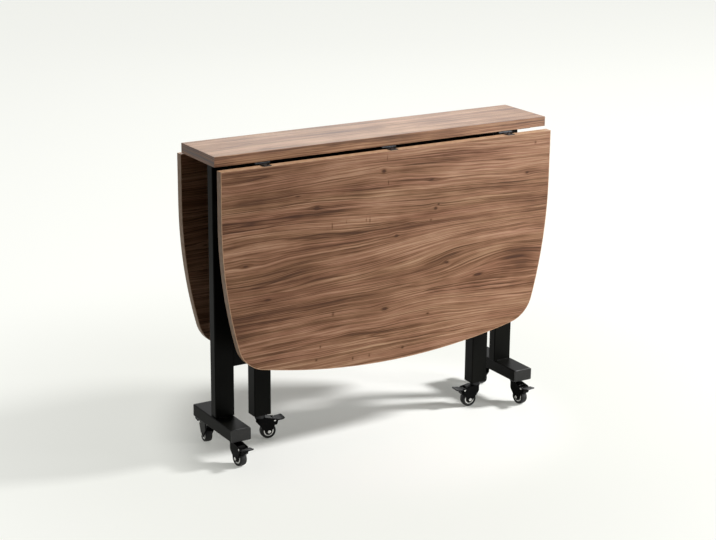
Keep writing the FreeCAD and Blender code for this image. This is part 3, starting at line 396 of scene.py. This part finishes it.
def streakTone(tree, spot, line):
    # the middle tone plus every layer's share of its noise about 0.5, less thin growth lines
    # where a slow noise crosses 0.5, fading in and out
    tone = laminate["tone"]
    for key, s in laminate["streaks"].items():
        layer = streakNoise(tree, spot, spot["across"] if key == "blotch" else line, s)
        centred = addNode(tree, "ShaderNodeMath", {0: layer, 1: 0.5}, operation="SUBTRACT").outputs[0]
        tone = addNode(tree, "ShaderNodeMath", {0: centred, 1: s["share"], 2: tone},
                       operation="MULTIPLY_ADD").outputs[0]
        if key == "hairs":
            hairs = layer
    fading = laminate["growthFade"]
    for s in laminate["growth"]:
        thin = thinLine(tree, streakNoise(tree, spot, line, s), 0.5, s["sharp"])
        fade = streakNoise(tree, spot, spot["across"], fading, s["seed"])
        fade = addNode(tree, "ShaderNodeMapRange", {"Value": fade, "From Min": fading["from"],
                                                    "From Max": fading["to"]}).outputs[0]
        mark = addNode(tree, "ShaderNodeMath", {0: thin, 1: fade}, operation="MULTIPLY").outputs[0]
        tone = addNode(tree, "ShaderNodeMath", {0: mark, 1: -s["depth"], 2: tone},
                       operation="MULTIPLY_ADD").outputs[0]
    return tone, hairs


def drawnMarks(tree, spot, line, dark, grain):
    # adds the long lines, the broad patches, some of them painted light and shade, and the darker edging of
    # the narrow sides
    for height, middle, reach, halfWidth, depth in grain["longLines"]:
        bell = nearness(tree, spot, (middle, height), (reach, 1.0))[2]
        mark = addNode(tree, "ShaderNodeMath", {0: thinLine(tree, line, height, 1000 / halfWidth), 1: bell},
                       operation="MULTIPLY").outputs[0]
        dark = addNode(tree, "ShaderNodeMath", {0: mark, 1: laminate["longLineDepth"] * depth, 2: dark},
                       operation="MULTIPLY_ADD").outputs[0]
    for x0, w0, halfLength, halfHeight, shade in grain["patchesAndPaintedLight"]:
        bell = nearness(tree, spot, (x0, w0), (halfLength, halfHeight))[2]
        dark = addNode(tree, "ShaderNodeMath", {0: bell, 1: -shade, 2: dark},
                       operation="MULTIPLY_ADD").outputs[0]
    return addNode(tree, "ShaderNodeMath", {0: spot["edged"], 1: laminate["edging"]["depth"], 2: dark},
                   operation="MULTIPLY_ADD").outputs[0]


def woodLaminate(name, grain, finish):
    material, tree, shader = newMaterial(name)
    spot = faceSpot(tree, grain)
    dark, line = grainEyes(tree, spot, bentLine(tree, spot, grain), grain)
    tone, hairs = streakTone(tree, spot, line)
    dark = drawnMarks(tree, spot, line, dark, grain)
    tone = addNode(tree, "ShaderNodeMath", {0: tone, 1: dark}, operation="SUBTRACT").outputs[0]
    ramp = addNode(tree, "ShaderNodeValToRGB", {0: tone})
    setRamp(ramp, grain["colours"])

    s = laminate["pores"]
    pit = addNode(tree, "ShaderNodeMapRange", {"Value": streakNoise(tree, spot, line, s),
                                               "From Min": s["from"], "From Max": s["to"]}).outputs[0]
    shade = addNode(tree, "ShaderNodeMapRange", {"Value": pit, "To Min": 1.0,
                                                 "To Max": s["shade"]}).outputs[0]
    colour = addNode(tree, "ShaderNodeVectorMath", {0: ramp.outputs[0], "Scale": shade},
                     operation="SCALE").outputs[0]
    s = laminate["lean"]
    lean = addNode(tree, "ShaderNodeMath", {0: streakNoise(tree, spot, line, s), 1: 0.5},
                   operation="SUBTRACT").outputs[0]
    # colour * (1 + tint * amount), first for the lean, then the end faces' redder, less blue brown, painted
    # to offset the pale reflection they catch
    for tint, amount in ((s["tint"], lean), (laminate["edging"]["endTintAgainstReflection"], spot["end"])):
        factor = addNode(tree, "ShaderNodeVectorMath", {0: tint, "Scale": amount},
                         operation="SCALE").outputs[0]
        factor = addNode(tree, "ShaderNodeVectorMath", {0: factor, 1: (1, 1, 1)},
                         operation="ADD").outputs[0]
        colour = addNode(tree, "ShaderNodeVectorMath", {0: colour, 1: factor},
                         operation="MULTIPLY").outputs[0]

    s = laminate["relief"]
    height = addNode(tree, "ShaderNodeMath", {0: hairs, 1: s["hairs"], 2: pit},
                     operation="MULTIPLY_ADD").outputs[0]
    bump = addNode(tree, "ShaderNodeBump", {"Height": height, "Distance": s["depth"],
                                            "Strength": s["strength"]}, invert=True).outputs[0]
    low, high = (finish["roughness"] + step for step in laminate["glossSpread"])
    rough = addNode(tree, "ShaderNodeMapRange", {"Value": hairs, "To Min": low, "To Max": high}).outputs[0]
    tree.links.new(colour, shader.inputs["Base Color"])
    tree.links.new(rough, shader.inputs["Roughness"])
    tree.links.new(bump, shader.inputs["Normal"])
    shader.inputs["Specular IOR Level"].default_value = finish["specular"]
    return material


leafWood = woodLaminate("walnutLaminateLeaf", leafGrain, leafFinish)
boardWood = woodLaminate("walnutLaminateBoard", boardGrain, boardFinish)
dress(leafWood, "front_leaf", "back_leaf")
dress(boardWood, "centre_board")
print("wood done")


# Plain finishes. Each takes a colour, a slow stain and a fine grain that also roughens
# the gloss and lifts the surface. Sizes in millimetres; edge is the rounding that catches
# light along the corners, and specular the strength of the coat's gloss.
finishes = {
    # ABS edge banding, printed to go with the decor and drawn paler than it as painted light, standing in
    # for fill light on its shaded sides: matt, faint streaks
    "absEdgeBanding": {"colour": "#B58B68", "stain": "#CFA885", "stainMm": 14, "grainMm": 1.6,
                       "roughness": 0.48, "metal": 0.0, "lift": 0.04, "edge": 0.4, "specular": 0.5},
    # polyester powder coat: near black, satin, orange peel of about a millimetre
    "blackPowderCoat": {"colour": "#0D0D0B", "stain": "#12120F", "stainMm": 60, "grainMm": 1.3,
                        "roughness": 0.40, "metal": 0.0, "lift": 0.05, "edge": 0.9, "specular": 0.06},
    # e-coated pressed steel of the casters: thinner and a little glossier
    "blackCoatedPressing": {"colour": "#070707", "stain": "#0C0C0C", "stainMm": 18, "grainMm": 0.9,
                            "roughness": 0.22, "metal": 0.0, "lift": 0.02, "edge": 0.7, "specular": 0.05},
    # moulded polypropylene: matt, fine spark-eroded grain drawn at 0.8 mm
    "mouldedPolypropylene": {"colour": "#101010", "stain": "#191918", "stainMm": 22, "grainMm": 0.8,
                             "roughness": 0.30, "metal": 0.0, "lift": 0.03, "edge": 2.0, "specular": 0.45},
    # bright zinc plate: cool grey metal, slightly cloudy
    "zincPlatedSteel": {"colour": "#B9BBBD", "stain": "#8F9193", "stainMm": 6, "grainMm": 0.6,
                        "roughness": 0.32, "metal": 1.0, "lift": 0.01, "edge": 0.3, "specular": 0.5},
    # black-passivated zinc plate of the caster stems and the hinges' screws
    "blackZincPlate": {"colour": "#39393A", "stain": "#2B2B2C", "stainMm": 6, "grainMm": 0.6,
                       "roughness": 0.38, "metal": 1.0, "lift": 0.01, "edge": 0.3, "specular": 0.5},
    # hinge strip: zinc plate, a little rougher than the bright plate and drawn dark grey
    "darkGreyZincPlate": {"colour": "#47484A", "stain": "#343537", "stainMm": 5, "grainMm": 0.6,
                        "roughness": 0.40, "metal": 1.0, "lift": 0.01, "edge": 0.3, "specular": 0.5},
    # turned and pressed bright steel of rings, rivets and axle ends
    "brightSteel": {"colour": "#E2E1DE", "stain": "#BDBCBA", "stainMm": 4, "grainMm": 0.5,
                    "roughness": 0.18, "metal": 1.0, "lift": 0.01, "edge": 0.2, "specular": 0.5},
    # thermoplastic rubber tread: matt black with a greyer worn bloom
    "rubberTread": {"colour": "#0D0D0D", "stain": "#191918", "stainMm": 9, "grainMm": 0.9,
                    "roughness": 0.60, "metal": 0.0, "lift": 0.05, "edge": 0.3, "specular": 0.4},
}


# What they share: the detail and the span of each noise, and how far its grain moves the gloss
coating = {"stainDetail": 3.0, "stainSpan": (0.35, 0.75), "grainDetail": 1.0, "grainSpan": (0.3, 0.7),
           "glossSpread": (-0.04, 0.06), "strength": 0.5, "edgeSamples": 6}


def plainFinish(name, s, coat):
    material, tree, shader = newMaterial(name)
    place = addNode(tree, "ShaderNodeTexCoord").outputs["Object"]
    stain = addNode(tree, "ShaderNodeTexNoise", {"Vector": place, "Scale": 1000 / s["stainMm"],
                                                 "Detail": coat["stainDetail"]}).outputs["Fac"]
    grain = addNode(tree, "ShaderNodeTexNoise", {"Vector": place, "Scale": 1000 / s["grainMm"],
                                                 "Detail": coat["grainDetail"]}).outputs["Fac"]
    ramp = addNode(tree, "ShaderNodeValToRGB", {0: stain})
    setRamp(ramp, list(zip(coat["stainSpan"], (s["colour"], s["stain"]))))
    low, high = (s["roughness"] + step for step in coat["glossSpread"])
    rough = addNode(tree, "ShaderNodeMapRange", {"Value": grain, "From Min": coat["grainSpan"][0],
                                                 "From Max": coat["grainSpan"][1], "To Min": low,
                                                 "To Max": high}).outputs[0]
    corner = addNode(tree, "ShaderNodeBevel", {"Radius": s["edge"] / 1000},
                     samples=coat["edgeSamples"]).outputs[0]
    bump = addNode(tree, "ShaderNodeBump", {"Height": grain, "Distance": s["lift"] / 1000,
                                            "Strength": coat["strength"], "Normal": corner}).outputs[0]
    tree.links.new(ramp.outputs[0], shader.inputs["Base Color"])
    tree.links.new(rough, shader.inputs["Roughness"])
    tree.links.new(bump, shader.inputs["Normal"])
    shader.inputs["Metallic"].default_value = s["metal"]
    shader.inputs["Specular IOR Level"].default_value = s["specular"]
    return material


finish = {name: plainFinish(name, s, coating) for name, s in finishes.items()}
dress(finish["absEdgeBanding"], "front_edge_band", "back_edge_band")
dress(finish["blackPowderCoat"], "left_foot", "right_foot", "left_post", "right_post", "lower_rail",
      "upper_rail", "board_plates", "pivot_lugs", "left_gate_leg", "left_gate_arms",
      "left_gate_pivot_tube", "right_gate_leg", "right_gate_arms", "right_gate_pivot_tube")
dress(finish["mouldedPolypropylene"], "foot_end_caps", "front_leaf_stop", "back_leaf_stop")
dress(finish["darkGreyZincPlate"], "hinge_plates", "front_hinge_tabs", "back_hinge_tabs")
dress(finish["blackZincPlate"], "foot_caster_stems", "left_gate_caster_stem", "right_gate_caster_stem")
dress(finish["brightSteel"], "hinge_pins")
for caster in casters:
    dress(finish["blackCoatedPressing"], caster + "_caster_fork", caster + "_brake_pedal")
    dress(finish["brightSteel"], caster + "_caster_axle")
    dress(finish["mouldedPolypropylene"], caster + "_wheel_core")
print("finishes done")


nearlyUpright = 0.9  # an axis that rises more than this is turned from a level direction


def turnProfile(centre, axis, profile, around):
    # turns a profile of (out, up the axis) millimetres about an axis: point = centre
    # + axis * up + (side * cos a + other * sin a) * out, for a from 0 to a full turn
    axis = np.array(axis, float)
    axis /= np.linalg.norm(axis)
    level = abs(axis[2]) < nearlyUpright
    side = np.cross(axis, (0.0, 0.0, 1.0)) if level else np.array((1.0, 0.0, 0.0))
    side = side / np.linalg.norm(side)
    other = np.cross(axis, side)
    profile = np.array(profile, float) / 1000
    a = np.linspace(0, 2 * math.pi, around, endpoint=False)[None, :, None]
    out, up = profile[:, 0][:, None, None], profile[:, 1][:, None, None]
    return np.array(centre, float) + axis * up + (side * np.cos(a) + other * np.sin(a)) * out


# Tyres, in millimetres: a rounded tread in place of the source's bevelled one
tyreSettings = {"crown": 19.5, "side": 16.4, "bore": 13.8, "halfWidth": 8.75, "rim": 0.5,
                "fullness": 0.55, "steps": 23, "around": 72}


def roundTyre(caster, s):
    # tread: up the axis = half width * sin u, out = side + (crown - side) * cos u ^ fullness,
    # then down both walls, over a small rim, to the bore
    joint = joints[caster + "_wheel_spin"]
    u = np.linspace(-math.pi / 2, math.pi / 2, s["steps"])
    out = s["side"] + (s["crown"] - s["side"]) * np.clip(np.cos(u), 0, 1) ** s["fullness"]
    tread = np.stack([out, s["halfWidth"] * np.sin(u)], axis=-1)
    rim, half, bore = s["rim"], s["halfWidth"], s["bore"]
    wall = [(bore + rim, half), (bore, half - rim)]
    seat = [(bore, rim - half), (bore + rim, -half)]
    profile = np.concatenate([tread, wall, seat, tread[:1]])
    grid = turnProfile(joint["pos_m"], joint["axis"], profile, s["around"])
    tyre = meshObject(caster + "RoundTyre", [(grid, True)], finish["rubberTread"])
    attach(tyre, caster + "_wheel")
    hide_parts(caster + "_tyre")


# Bright ring pressed into each side of every wheel, in millimetres; face is the core's face
ringSettings = {"inner": 9.6, "outer": 12.8, "proud": 0.5, "face": 7.75, "sunk": 0.2,
                "fullness": 0.5, "steps": 9, "around": 64}


def wheelRings(caster, s):
    # a shallow dome over its width: up = face + proud * sin(pi * t) ^ fullness, t from 0 to 1
    joint = joints[caster + "_wheel_spin"]
    inner, outer, face = s["inner"], s["outer"], s["face"]
    t = np.linspace(0, 1, s["steps"])
    rise = s["proud"] * np.sin(math.pi * t) ** s["fullness"]
    top = np.stack([inner + (outer - inner) * t, face + rise], axis=-1)
    profile = np.concatenate([top, [(outer, face - s["sunk"]), (inner, face - s["sunk"])], top[:1]])
    axis = np.array(joint["axis"])
    grids = [(turnProfile(joint["pos_m"], axis * side, profile, s["around"]), True) for side in (1, -1)]
    ring = meshObject(caster + "WheelRings", grids, finish["brightSteel"])
    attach(ring, caster + "_wheel")


# Rounded ends on the axle and on the pedal's pin, in millimetres, standing on the outside of
# the fork; the axle's own flat head is 1.6 mm thick under its dome
forkOutside, axleHead = 11.75, 1.6
rivetShape = {"sunk": 0.2, "steps": 8, "around": 24}
rivetSettings = {
    "Axle": dict(rivetShape, joint="_wheel_spin", out=forkOutside + axleHead, radius=3.2, height=0.7,
                 body="_caster"),
    "PedalPin": dict(rivetShape, joint="_brake_press", out=forkOutside, radius=2.7, height=1.1,
                     body="_pedal"),
}


def rivetHeads(caster, part, s):
    # a dome: out = radius * cos u, up = height * sin u, for u from 0 to a quarter turn
    joint = joints[caster + s["joint"]]
    u = np.linspace(0, math.pi / 2, s["steps"])
    dome = np.stack([s["radius"] * np.cos(u), s["out"] + s["height"] * np.sin(u)], axis=-1)
    seat = s["out"] - s["sunk"]
    profile = np.concatenate([[(0, seat), (s["radius"], seat)], dome])
    axis = np.array(joint["axis"])
    grids = [(turnProfile(joint["pos_m"], axis * side, profile, s["around"]), True) for side in (1, -1)]
    heads = meshObject(caster + part + "Ends", grids, finish["brightSteel"])
    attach(heads, caster + s["body"])


for caster in casters:
    roundTyre(caster, tyreSettings)
    wheelRings(caster, ringSettings)
    for part, s in rivetSettings.items():
        rivetHeads(caster, part, s)
print("wheels done")


# Weld beads, in millimetres: a coin-stack ripple along every seam of the tube frame.
# In metres: endGap keeps a bead off a tube's rounded corner, armHeight is the height of a
# gate's arm, and faces nearer than touching lie against each other. cope is half the angle,
# in radians, of the seam round a pivot tube.
weldSettings = {"leg": 2.2, "pitch": 2.0, "ripple": 0.12, "step": 0.5, "sunk": 0.4, "taper": 2.0,
                "arcSteps": 6, "endGap": 0.0036, "armHeight": 0.030, "touching": 0.001, "cope": 0.9,
                "copeSteps": 60}


def weldBead(path, u, v, s):
    # a quarter round: point = path + leg * (cos a * u + sin a * v), a from 0 to a quarter turn,
    # closed through a point sunk in the corner; leg swells once a pitch and tapers at both ends
    run = np.concatenate([[0], np.cumsum(np.linalg.norm(np.diff(path, axis=0), axis=1))]) * 1000
    ends = np.clip(np.minimum(run, run[-1] - run) / s["taper"], 0, 1)
    size = s["leg"] / 1000 * (1 + s["ripple"] * np.cos(2 * math.pi * run / s["pitch"])) * np.sqrt(ends)
    a = np.linspace(0, math.pi / 2, s["arcSteps"])[None, :, None]
    arc = np.cos(a) * u[:, None, :] + np.sin(a) * v[:, None, :]
    sunk = -s["sunk"] / s["leg"] * (u + v)[:, None, :]
    return path[:, None, :] + size[:, None, None] * np.concatenate([arc, sunk], axis=1), True


def straightWeld(start, end, u, v, s):
    start, end = np.array(start, float), np.array(end, float)
    count = int(np.linalg.norm(end - start) * 1000 / s["step"]) + 2
    t = np.linspace(0, 1, count)[:, None]
    return weldBead(start + (end - start) * t, np.array(u, float) + 0 * t, np.array(v, float) + 0 * t, s)


def frameWelds(s):
    beads, gap = [], s["endGap"]
    for side, word in ((-1, "left"), (1, "right")):
        low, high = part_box(word + "_post")
        footLow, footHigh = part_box(word + "_foot")
        x0, x1 = max(low[0], footLow[0]) + gap, min(high[0], footHigh[0]) - gap
        half, bottom, top = high[1], low[2], high[2]
        # the post's long sides, to the foot and to the board plate
        for face in (-1, 1):
            y = face * half
            beads.append(straightWeld((x0, y, bottom), (x1, y, bottom), (0, face, 0), (0, 0, 1), s))
            beads.append(straightWeld((low[0] + gap, y, top), (high[0] - gap, y, top),
                                      (0, face, 0), (0, 0, -1), s))
        # its short sides; the inner one stands past the foot, so that bead hangs under the post
        outer = high[0] if side > 0 else low[0]
        inner = footLow[0] if side > 0 else footHigh[0]
        for x, out, up in ((outer, side, 1), (inner, -side, -1)):
            beads.append(straightWeld((x, gap - half, bottom), (x, half - gap, bottom),
                                      (out, 0, 0), (0, 0, up), s))
        for rail in ("lower_rail", "upper_rail"):
            railLow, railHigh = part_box(rail)
            end = railHigh[0] if side > 0 else railLow[0]
            for z, up in ((railHigh[2], 1), (railLow[2], -1)):
                # the upper rail's top lies against the board plates, so no bead fits there
                if abs(z - top) > s["touching"]:
                    beads.append(straightWeld((end, gap - half, z), (end, half - gap, z),
                                              (-side, 0, 0), (0, 0, up), s))
    return beads


def gateWelds(word, s):
    beads, gap = [], s["endGap"]
    side = 1 if word == "left" else -1
    low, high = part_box(word + "_gate_arms")
    tubeLow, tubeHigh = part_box(word + "_gate_pivot_tube")
    legEnd = low[0] if side > 0 else high[0]
    radius = (tubeHigh[0] - tubeLow[0]) / 2
    centreX, centreY = (tubeHigh[0] + tubeLow[0]) / 2, (tubeHigh[1] + tubeLow[1]) / 2
    half = (high[1] - low[1]) / 2
    run = math.sqrt(radius ** 2 - half ** 2)  # how far each side of an arm stops off the tube's middle
    for z0, z1 in ((low[2], low[2] + s["armHeight"]), (high[2] - s["armHeight"], high[2])):
        for z, up in ((z0, -1), (z1, 1)):
            beads.append(straightWeld((legEnd, low[1] + gap, z), (legEnd, high[1] - gap, z),
                                      (side, 0, 0), (0, 0, up), s))
            a = np.linspace(-s["cope"], s["cope"], s["copeSteps"])[:, None]
            out = np.concatenate([-side * np.cos(a), np.sin(a), 0 * a], axis=1)
            path = np.array([centreX, centreY, z]) + radius * out
            beads.append(weldBead(path, out, np.array([0.0, 0.0, up]) + 0 * a, s))
        for face in (-1, 1):
            y = centreY + face * half
            beads.append(straightWeld((legEnd, y, z0 + gap), (legEnd, y, z1 - gap),
                                      (side, 0, 0), (0, face, 0), s))
            x = centreX - side * run
            beads.append(straightWeld((x, y, z0 + gap), (x, y, z1 - gap), (-side, 0, 0),
                                      (side * half / radius, face * run / radius, 0), s))
    return beads


for name, body, beads in (("frameWelds", "frame", frameWelds(weldSettings)),
                          ("leftGateWelds", "left_gate", gateWelds("left", weldSettings)),
                          ("rightGateWelds", "right_gate", gateWelds("right", weldSettings))):
    seam = meshObject(name, beads, finish["blackPowderCoat"])
    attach(seam, body)
print("welds done")


# Cross-recessed pan-head screws, in millimetres. dome is how far out the even rows go, and
# rim the rows after it, both as shares of the radius; fall is the share of the height lost
# at the rim; the cross's sides and ends slope over crossSide and crossEnd.
screwSettings = {"radius": 3.8, "height": 2.2, "fall": 0.35, "sunk": 0.2, "dome": 0.8, "domeRows": 13,
                 "rim": [0.87, 0.93, 0.97, 1.0, 1.0], "crossLong": 2.2, "crossWide": 0.55,
                 "crossDeep": 1.3, "crossSide": 0.2, "crossEnd": 0.3, "around": 48}
smallScrew = dict(screwSettings, radius=2.6, height=1.3, crossLong=1.6, crossWide=0.4, crossDeep=0.8)
# Where the screws sit, in metres: rows are distances from the board's middle, steps from the
# middle of a hinge or of a stop block, and strip is the thickness of the hinges' metal
screwPlaces = {"plateInset": 0.012, "hinges": (-0.335, 0.0, 0.335), "strip": 0.0016,
               "hingeStep": 0.012, "hingeRow": 0.0660, "tabStep": 0.0055, "tabRow": 0.1015,
               "stopStep": 0.015}


def panHead(at, axis, s):
    # a dome over polar rows r: up = height * (1 - fall * (r / radius) ^ 4), less the cross's
    # depth where a point lies within either arm, then a wall down to just under the seat
    radius = s["radius"]
    r = np.concatenate([np.linspace(0, s["dome"], s["domeRows"]), s["rim"]]) * radius
    a = np.linspace(0, 2 * math.pi, s["around"], endpoint=False)
    x, y = r[:, None] * np.cos(a), r[:, None] * np.sin(a)
    up = s["height"] * (1 - s["fall"] * (r / radius) ** 4)[:, None] + 0 * x
    arms = [np.clip((s["crossWide"] - abs(p)) / s["crossSide"] + 0.5, 0, 1)
            * np.clip((s["crossLong"] - abs(q)) / s["crossEnd"] + 0.5, 0, 1) for p, q in ((x, y), (y, x))]
    up = up - s["crossDeep"] * np.maximum(*arms)
    up[-1] = -s["sunk"]
    axis = np.array(axis, float)
    side = np.array((1.0, 0.0, 0.0))
    other = np.cross(axis, side)
    grid = np.array(at, float) + (side * x[..., None] + other * y[..., None] + axis * up[..., None]) / 1000
    floor = np.repeat(grid[-1:].mean(axis=1, keepdims=True), s["around"], axis=1)
    return np.concatenate([grid, floor]), True


def screwGroup(name, body, places, axis, s, plating):
    group = meshObject(name, [panHead(at, axis, s) for at in places], finish[plating])
    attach(group, body)


def frameScrews(s):
    # four up through each board plate, and four through each hinge plate
    low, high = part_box("board_plates")
    postLow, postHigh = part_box("right_post")
    postMiddle, plateHalf = (postLow[0] + postHigh[0]) / 2, (high[0] - postLow[0]) / 2
    row = high[1] - s["plateInset"]
    columns = [side * postMiddle + step * (plateHalf - s["plateInset"])
               for side in (-1, 1) for step in (-1, 1)]
    screwGroup("boardPlateScrews", "frame", [(x, y, low[2]) for x in columns for y in (-row, row)],
               (0, 0, -1), screwSettings, "zincPlatedSteel")
    places = [(x + side * s["hingeStep"], out * s["hingeRow"], high[2] - s["strip"])
              for x in s["hinges"] for side in (-1, 1) for out in (-1, 1)]
    screwGroup("hingePlateScrews", "frame", places, (0, 0, -1), smallScrew, "blackZincPlate")


def leafScrews(word, out, s):
    # two down into each hinge tab, and two through the leaf's stop block
    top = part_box(word + "_hinge_tabs")[0][2] + s["strip"]
    places = [(x + side * s["tabStep"], out * s["tabRow"], top) for x in s["hinges"] for side in (-1, 1)]
    screwGroup(word + "HingeTabScrews", word + "_leaf", places, (0, 0, 1), smallScrew, "blackZincPlate")
    low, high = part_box(word + "_leaf_stop")
    middleX, middleZ = (low[0] + high[0]) / 2, (low[2] + high[2]) / 2
    inner = high[1] if out < 0 else low[1]
    screwGroup(word + "StopScrews", word + "_leaf",
               [(middleX, inner, middleZ + side * s["stopStep"]) for side in (-1, 1)],
               (0, -out, 0), screwSettings, "zincPlatedSteel")


frameScrews(screwPlaces)
leafScrews("front", -1, screwPlaces)
leafScrews("back", 1, screwPlaces)
print("screws done")


# Floor and light: a pale seamless sweep, one lamp at the front right, a small near one for
# the right end of the leaf, and a soft room that is pale behind the table and dark in front
# paper and glow are colours by distance from the middle, as shares of reach
stageSettings = {"floorSize": 60.0, "reach": 6.0,
                 "paper": [(0.062, "#E0E0DD"), (0.100, "#868683")],
                 "glow": [(0.062, "#747570"), (0.100, "#D4D5CF"), (0.250, "#E5E6E1"), (0.800, "#E2E3DE")],
                 "cloudScale": 1.5, "cloudDetail": 1.0, "cloudShift": 0.01,
                 "roughness": 0.85, "specular": 0.15,
                 "paleSide": (0.52, 0.85, 0.0), "darkAt": -0.35, "paleAt": 0.35, "darkRoom": 0.04,
                 "ambient": 0.28}
lamps = [
    {"name": "keyLamp", "kind": "AREA", "place": (6.07, -2.62, 5.0), "aim": (0.0, 0.0, 0.35),
     "size": 1.3, "watts": 920},
    {"name": "backLamp", "kind": "AREA", "place": (2.4, 4.0, 2.6), "aim": (0.0, 0.0, 0.6),
     "size": 2.2, "watts": 14},
    {"name": "endLamp", "kind": "SPOT", "place": (1.5, -1.3, 0.9), "aim": (0.42, -0.11, 0.45),
     "size": 0.25, "watts": 54, "cone": 64},
]


def makeFloor(s):
    half = s["floorSize"] / 2
    across = np.linspace(-half, half, 3)
    x, y = np.meshgrid(across, across)
    material, tree, shader = newMaterial("paperSweep")
    # near the table the paper shows the lamps' light and shadow; farther out, where they
    # fall off, more of its white is a glow that only the camera and mirrored rays see
    place = addNode(tree, "ShaderNodeTexCoord").outputs["Object"]
    cloud = addNode(tree, "ShaderNodeTexNoise", {"Vector": place, "Scale": s["cloudScale"],
                                                 "Detail": s["cloudDetail"]}).outputs["Fac"]
    away = addNode(tree, "ShaderNodeVectorMath", {0: place}, operation="LENGTH").outputs["Value"]
    away = addNode(tree, "ShaderNodeMath", {0: away, 1: 1 / s["reach"]}, operation="MULTIPLY").outputs[0]
    away = addNode(tree, "ShaderNodeMath", {0: cloud, 1: s["cloudShift"], 2: away},
                   operation="MULTIPLY_ADD").outputs[0]
    for key, socket in (("paper", "Base Color"), ("glow", "Emission Color")):
        ramp = addNode(tree, "ShaderNodeValToRGB", {0: away})
        setRamp(ramp, s[key])
        ramp.color_ramp.interpolation = "EASE"
        tree.links.new(ramp.outputs[0], shader.inputs[socket])
    shader.inputs["Roughness"].default_value = s["roughness"]
    shader.inputs["Specular IOR Level"].default_value = s["specular"]
    path = addNode(tree, "ShaderNodeLightPath")
    seen = path.outputs["Is Camera Ray"]
    for ray in ("Is Glossy Ray", "Is Transmission Ray"):
        seen = addNode(tree, "ShaderNodeMath", {0: seen, 1: path.outputs[ray]},
                       operation="MAXIMUM").outputs[0]
    tree.links.new(seen, shader.inputs["Emission Strength"])
    grid = np.stack([x, y, np.zeros_like(x)], axis=-1)
    floor = meshObject("floor", [(grid, False)], material, smooth=False)
    if floor.data.polygons[0].normal.z < 0:
        floor.data.flip_normals()


def makeWorld(s):
    # strength by direction: pale on the side behind the table, dark on the camera's side;
    # bounced light gets the ambient share of it, mirrored light all, and the camera sees white
    world = bpy.data.worlds.new("paleRoom")
    bpy.context.scene.world = world
    world.use_nodes = True
    tree = world.node_tree
    tree.nodes.clear()
    direction = addNode(tree, "ShaderNodeTexCoord").outputs["Generated"]
    side = addNode(tree, "ShaderNodeVectorMath", {0: direction, 1: s["paleSide"]},
                   operation="DOT_PRODUCT").outputs["Value"]
    room = addNode(tree, "ShaderNodeMapRange", {"Value": side, "From Min": s["darkAt"],
                                                "From Max": s["paleAt"], "To Min": s["darkRoom"],
                                                "To Max": 1.0},
                   interpolation_type="SMOOTHSTEP").outputs[0]
    path = addNode(tree, "ShaderNodeLightPath")
    mirrored = addNode(tree, "ShaderNodeMath", {0: path.outputs["Is Glossy Ray"],
                                                1: path.outputs["Is Transmission Ray"]},
                       operation="MAXIMUM").outputs[0]
    share = addNode(tree, "ShaderNodeMapRange", {"Value": mirrored, "To Min": s["ambient"],
                                                 "To Max": 1.0}).outputs[0]
    strength = addNode(tree, "ShaderNodeMath", {0: room, 1: share}, operation="MULTIPLY").outputs[0]
    strength = addNode(tree, "ShaderNodeMath", {0: strength, 1: path.outputs["Is Camera Ray"]},
                       operation="MAXIMUM").outputs[0]
    back = addNode(tree, "ShaderNodeBackground", {"Color": (1, 1, 1, 1), "Strength": strength})
    addNode(tree, "ShaderNodeOutputWorld", {"Surface": back.outputs[0]})


def makeLamp(s):
    data = bpy.data.lights.new(s["name"], s["kind"])
    if s["kind"] == "AREA":
        data.shape = "DISK"
        data.size = s["size"]
    else:
        data.shadow_soft_size = s["size"]
        data.spot_size = math.radians(s["cone"])
        data.spot_blend = 1.0
    data.energy = s["watts"]
    lamp = bpy.data.objects.new(s["name"], data)
    aim = Vector(s["aim"]) - Vector(s["place"])
    lamp.matrix_world = Matrix.Translation(s["place"]) @ aim.to_track_quat("-Z", "Y").to_matrix().to_4x4()
    bpy.context.scene.collection.objects.link(lamp)


makeFloor(stageSettings)
makeWorld(stageSettings)
for lamp in lamps:
    makeLamp(lamp)
bpy.context.scene.view_settings.view_transform = "Standard"
print("stage and light done")
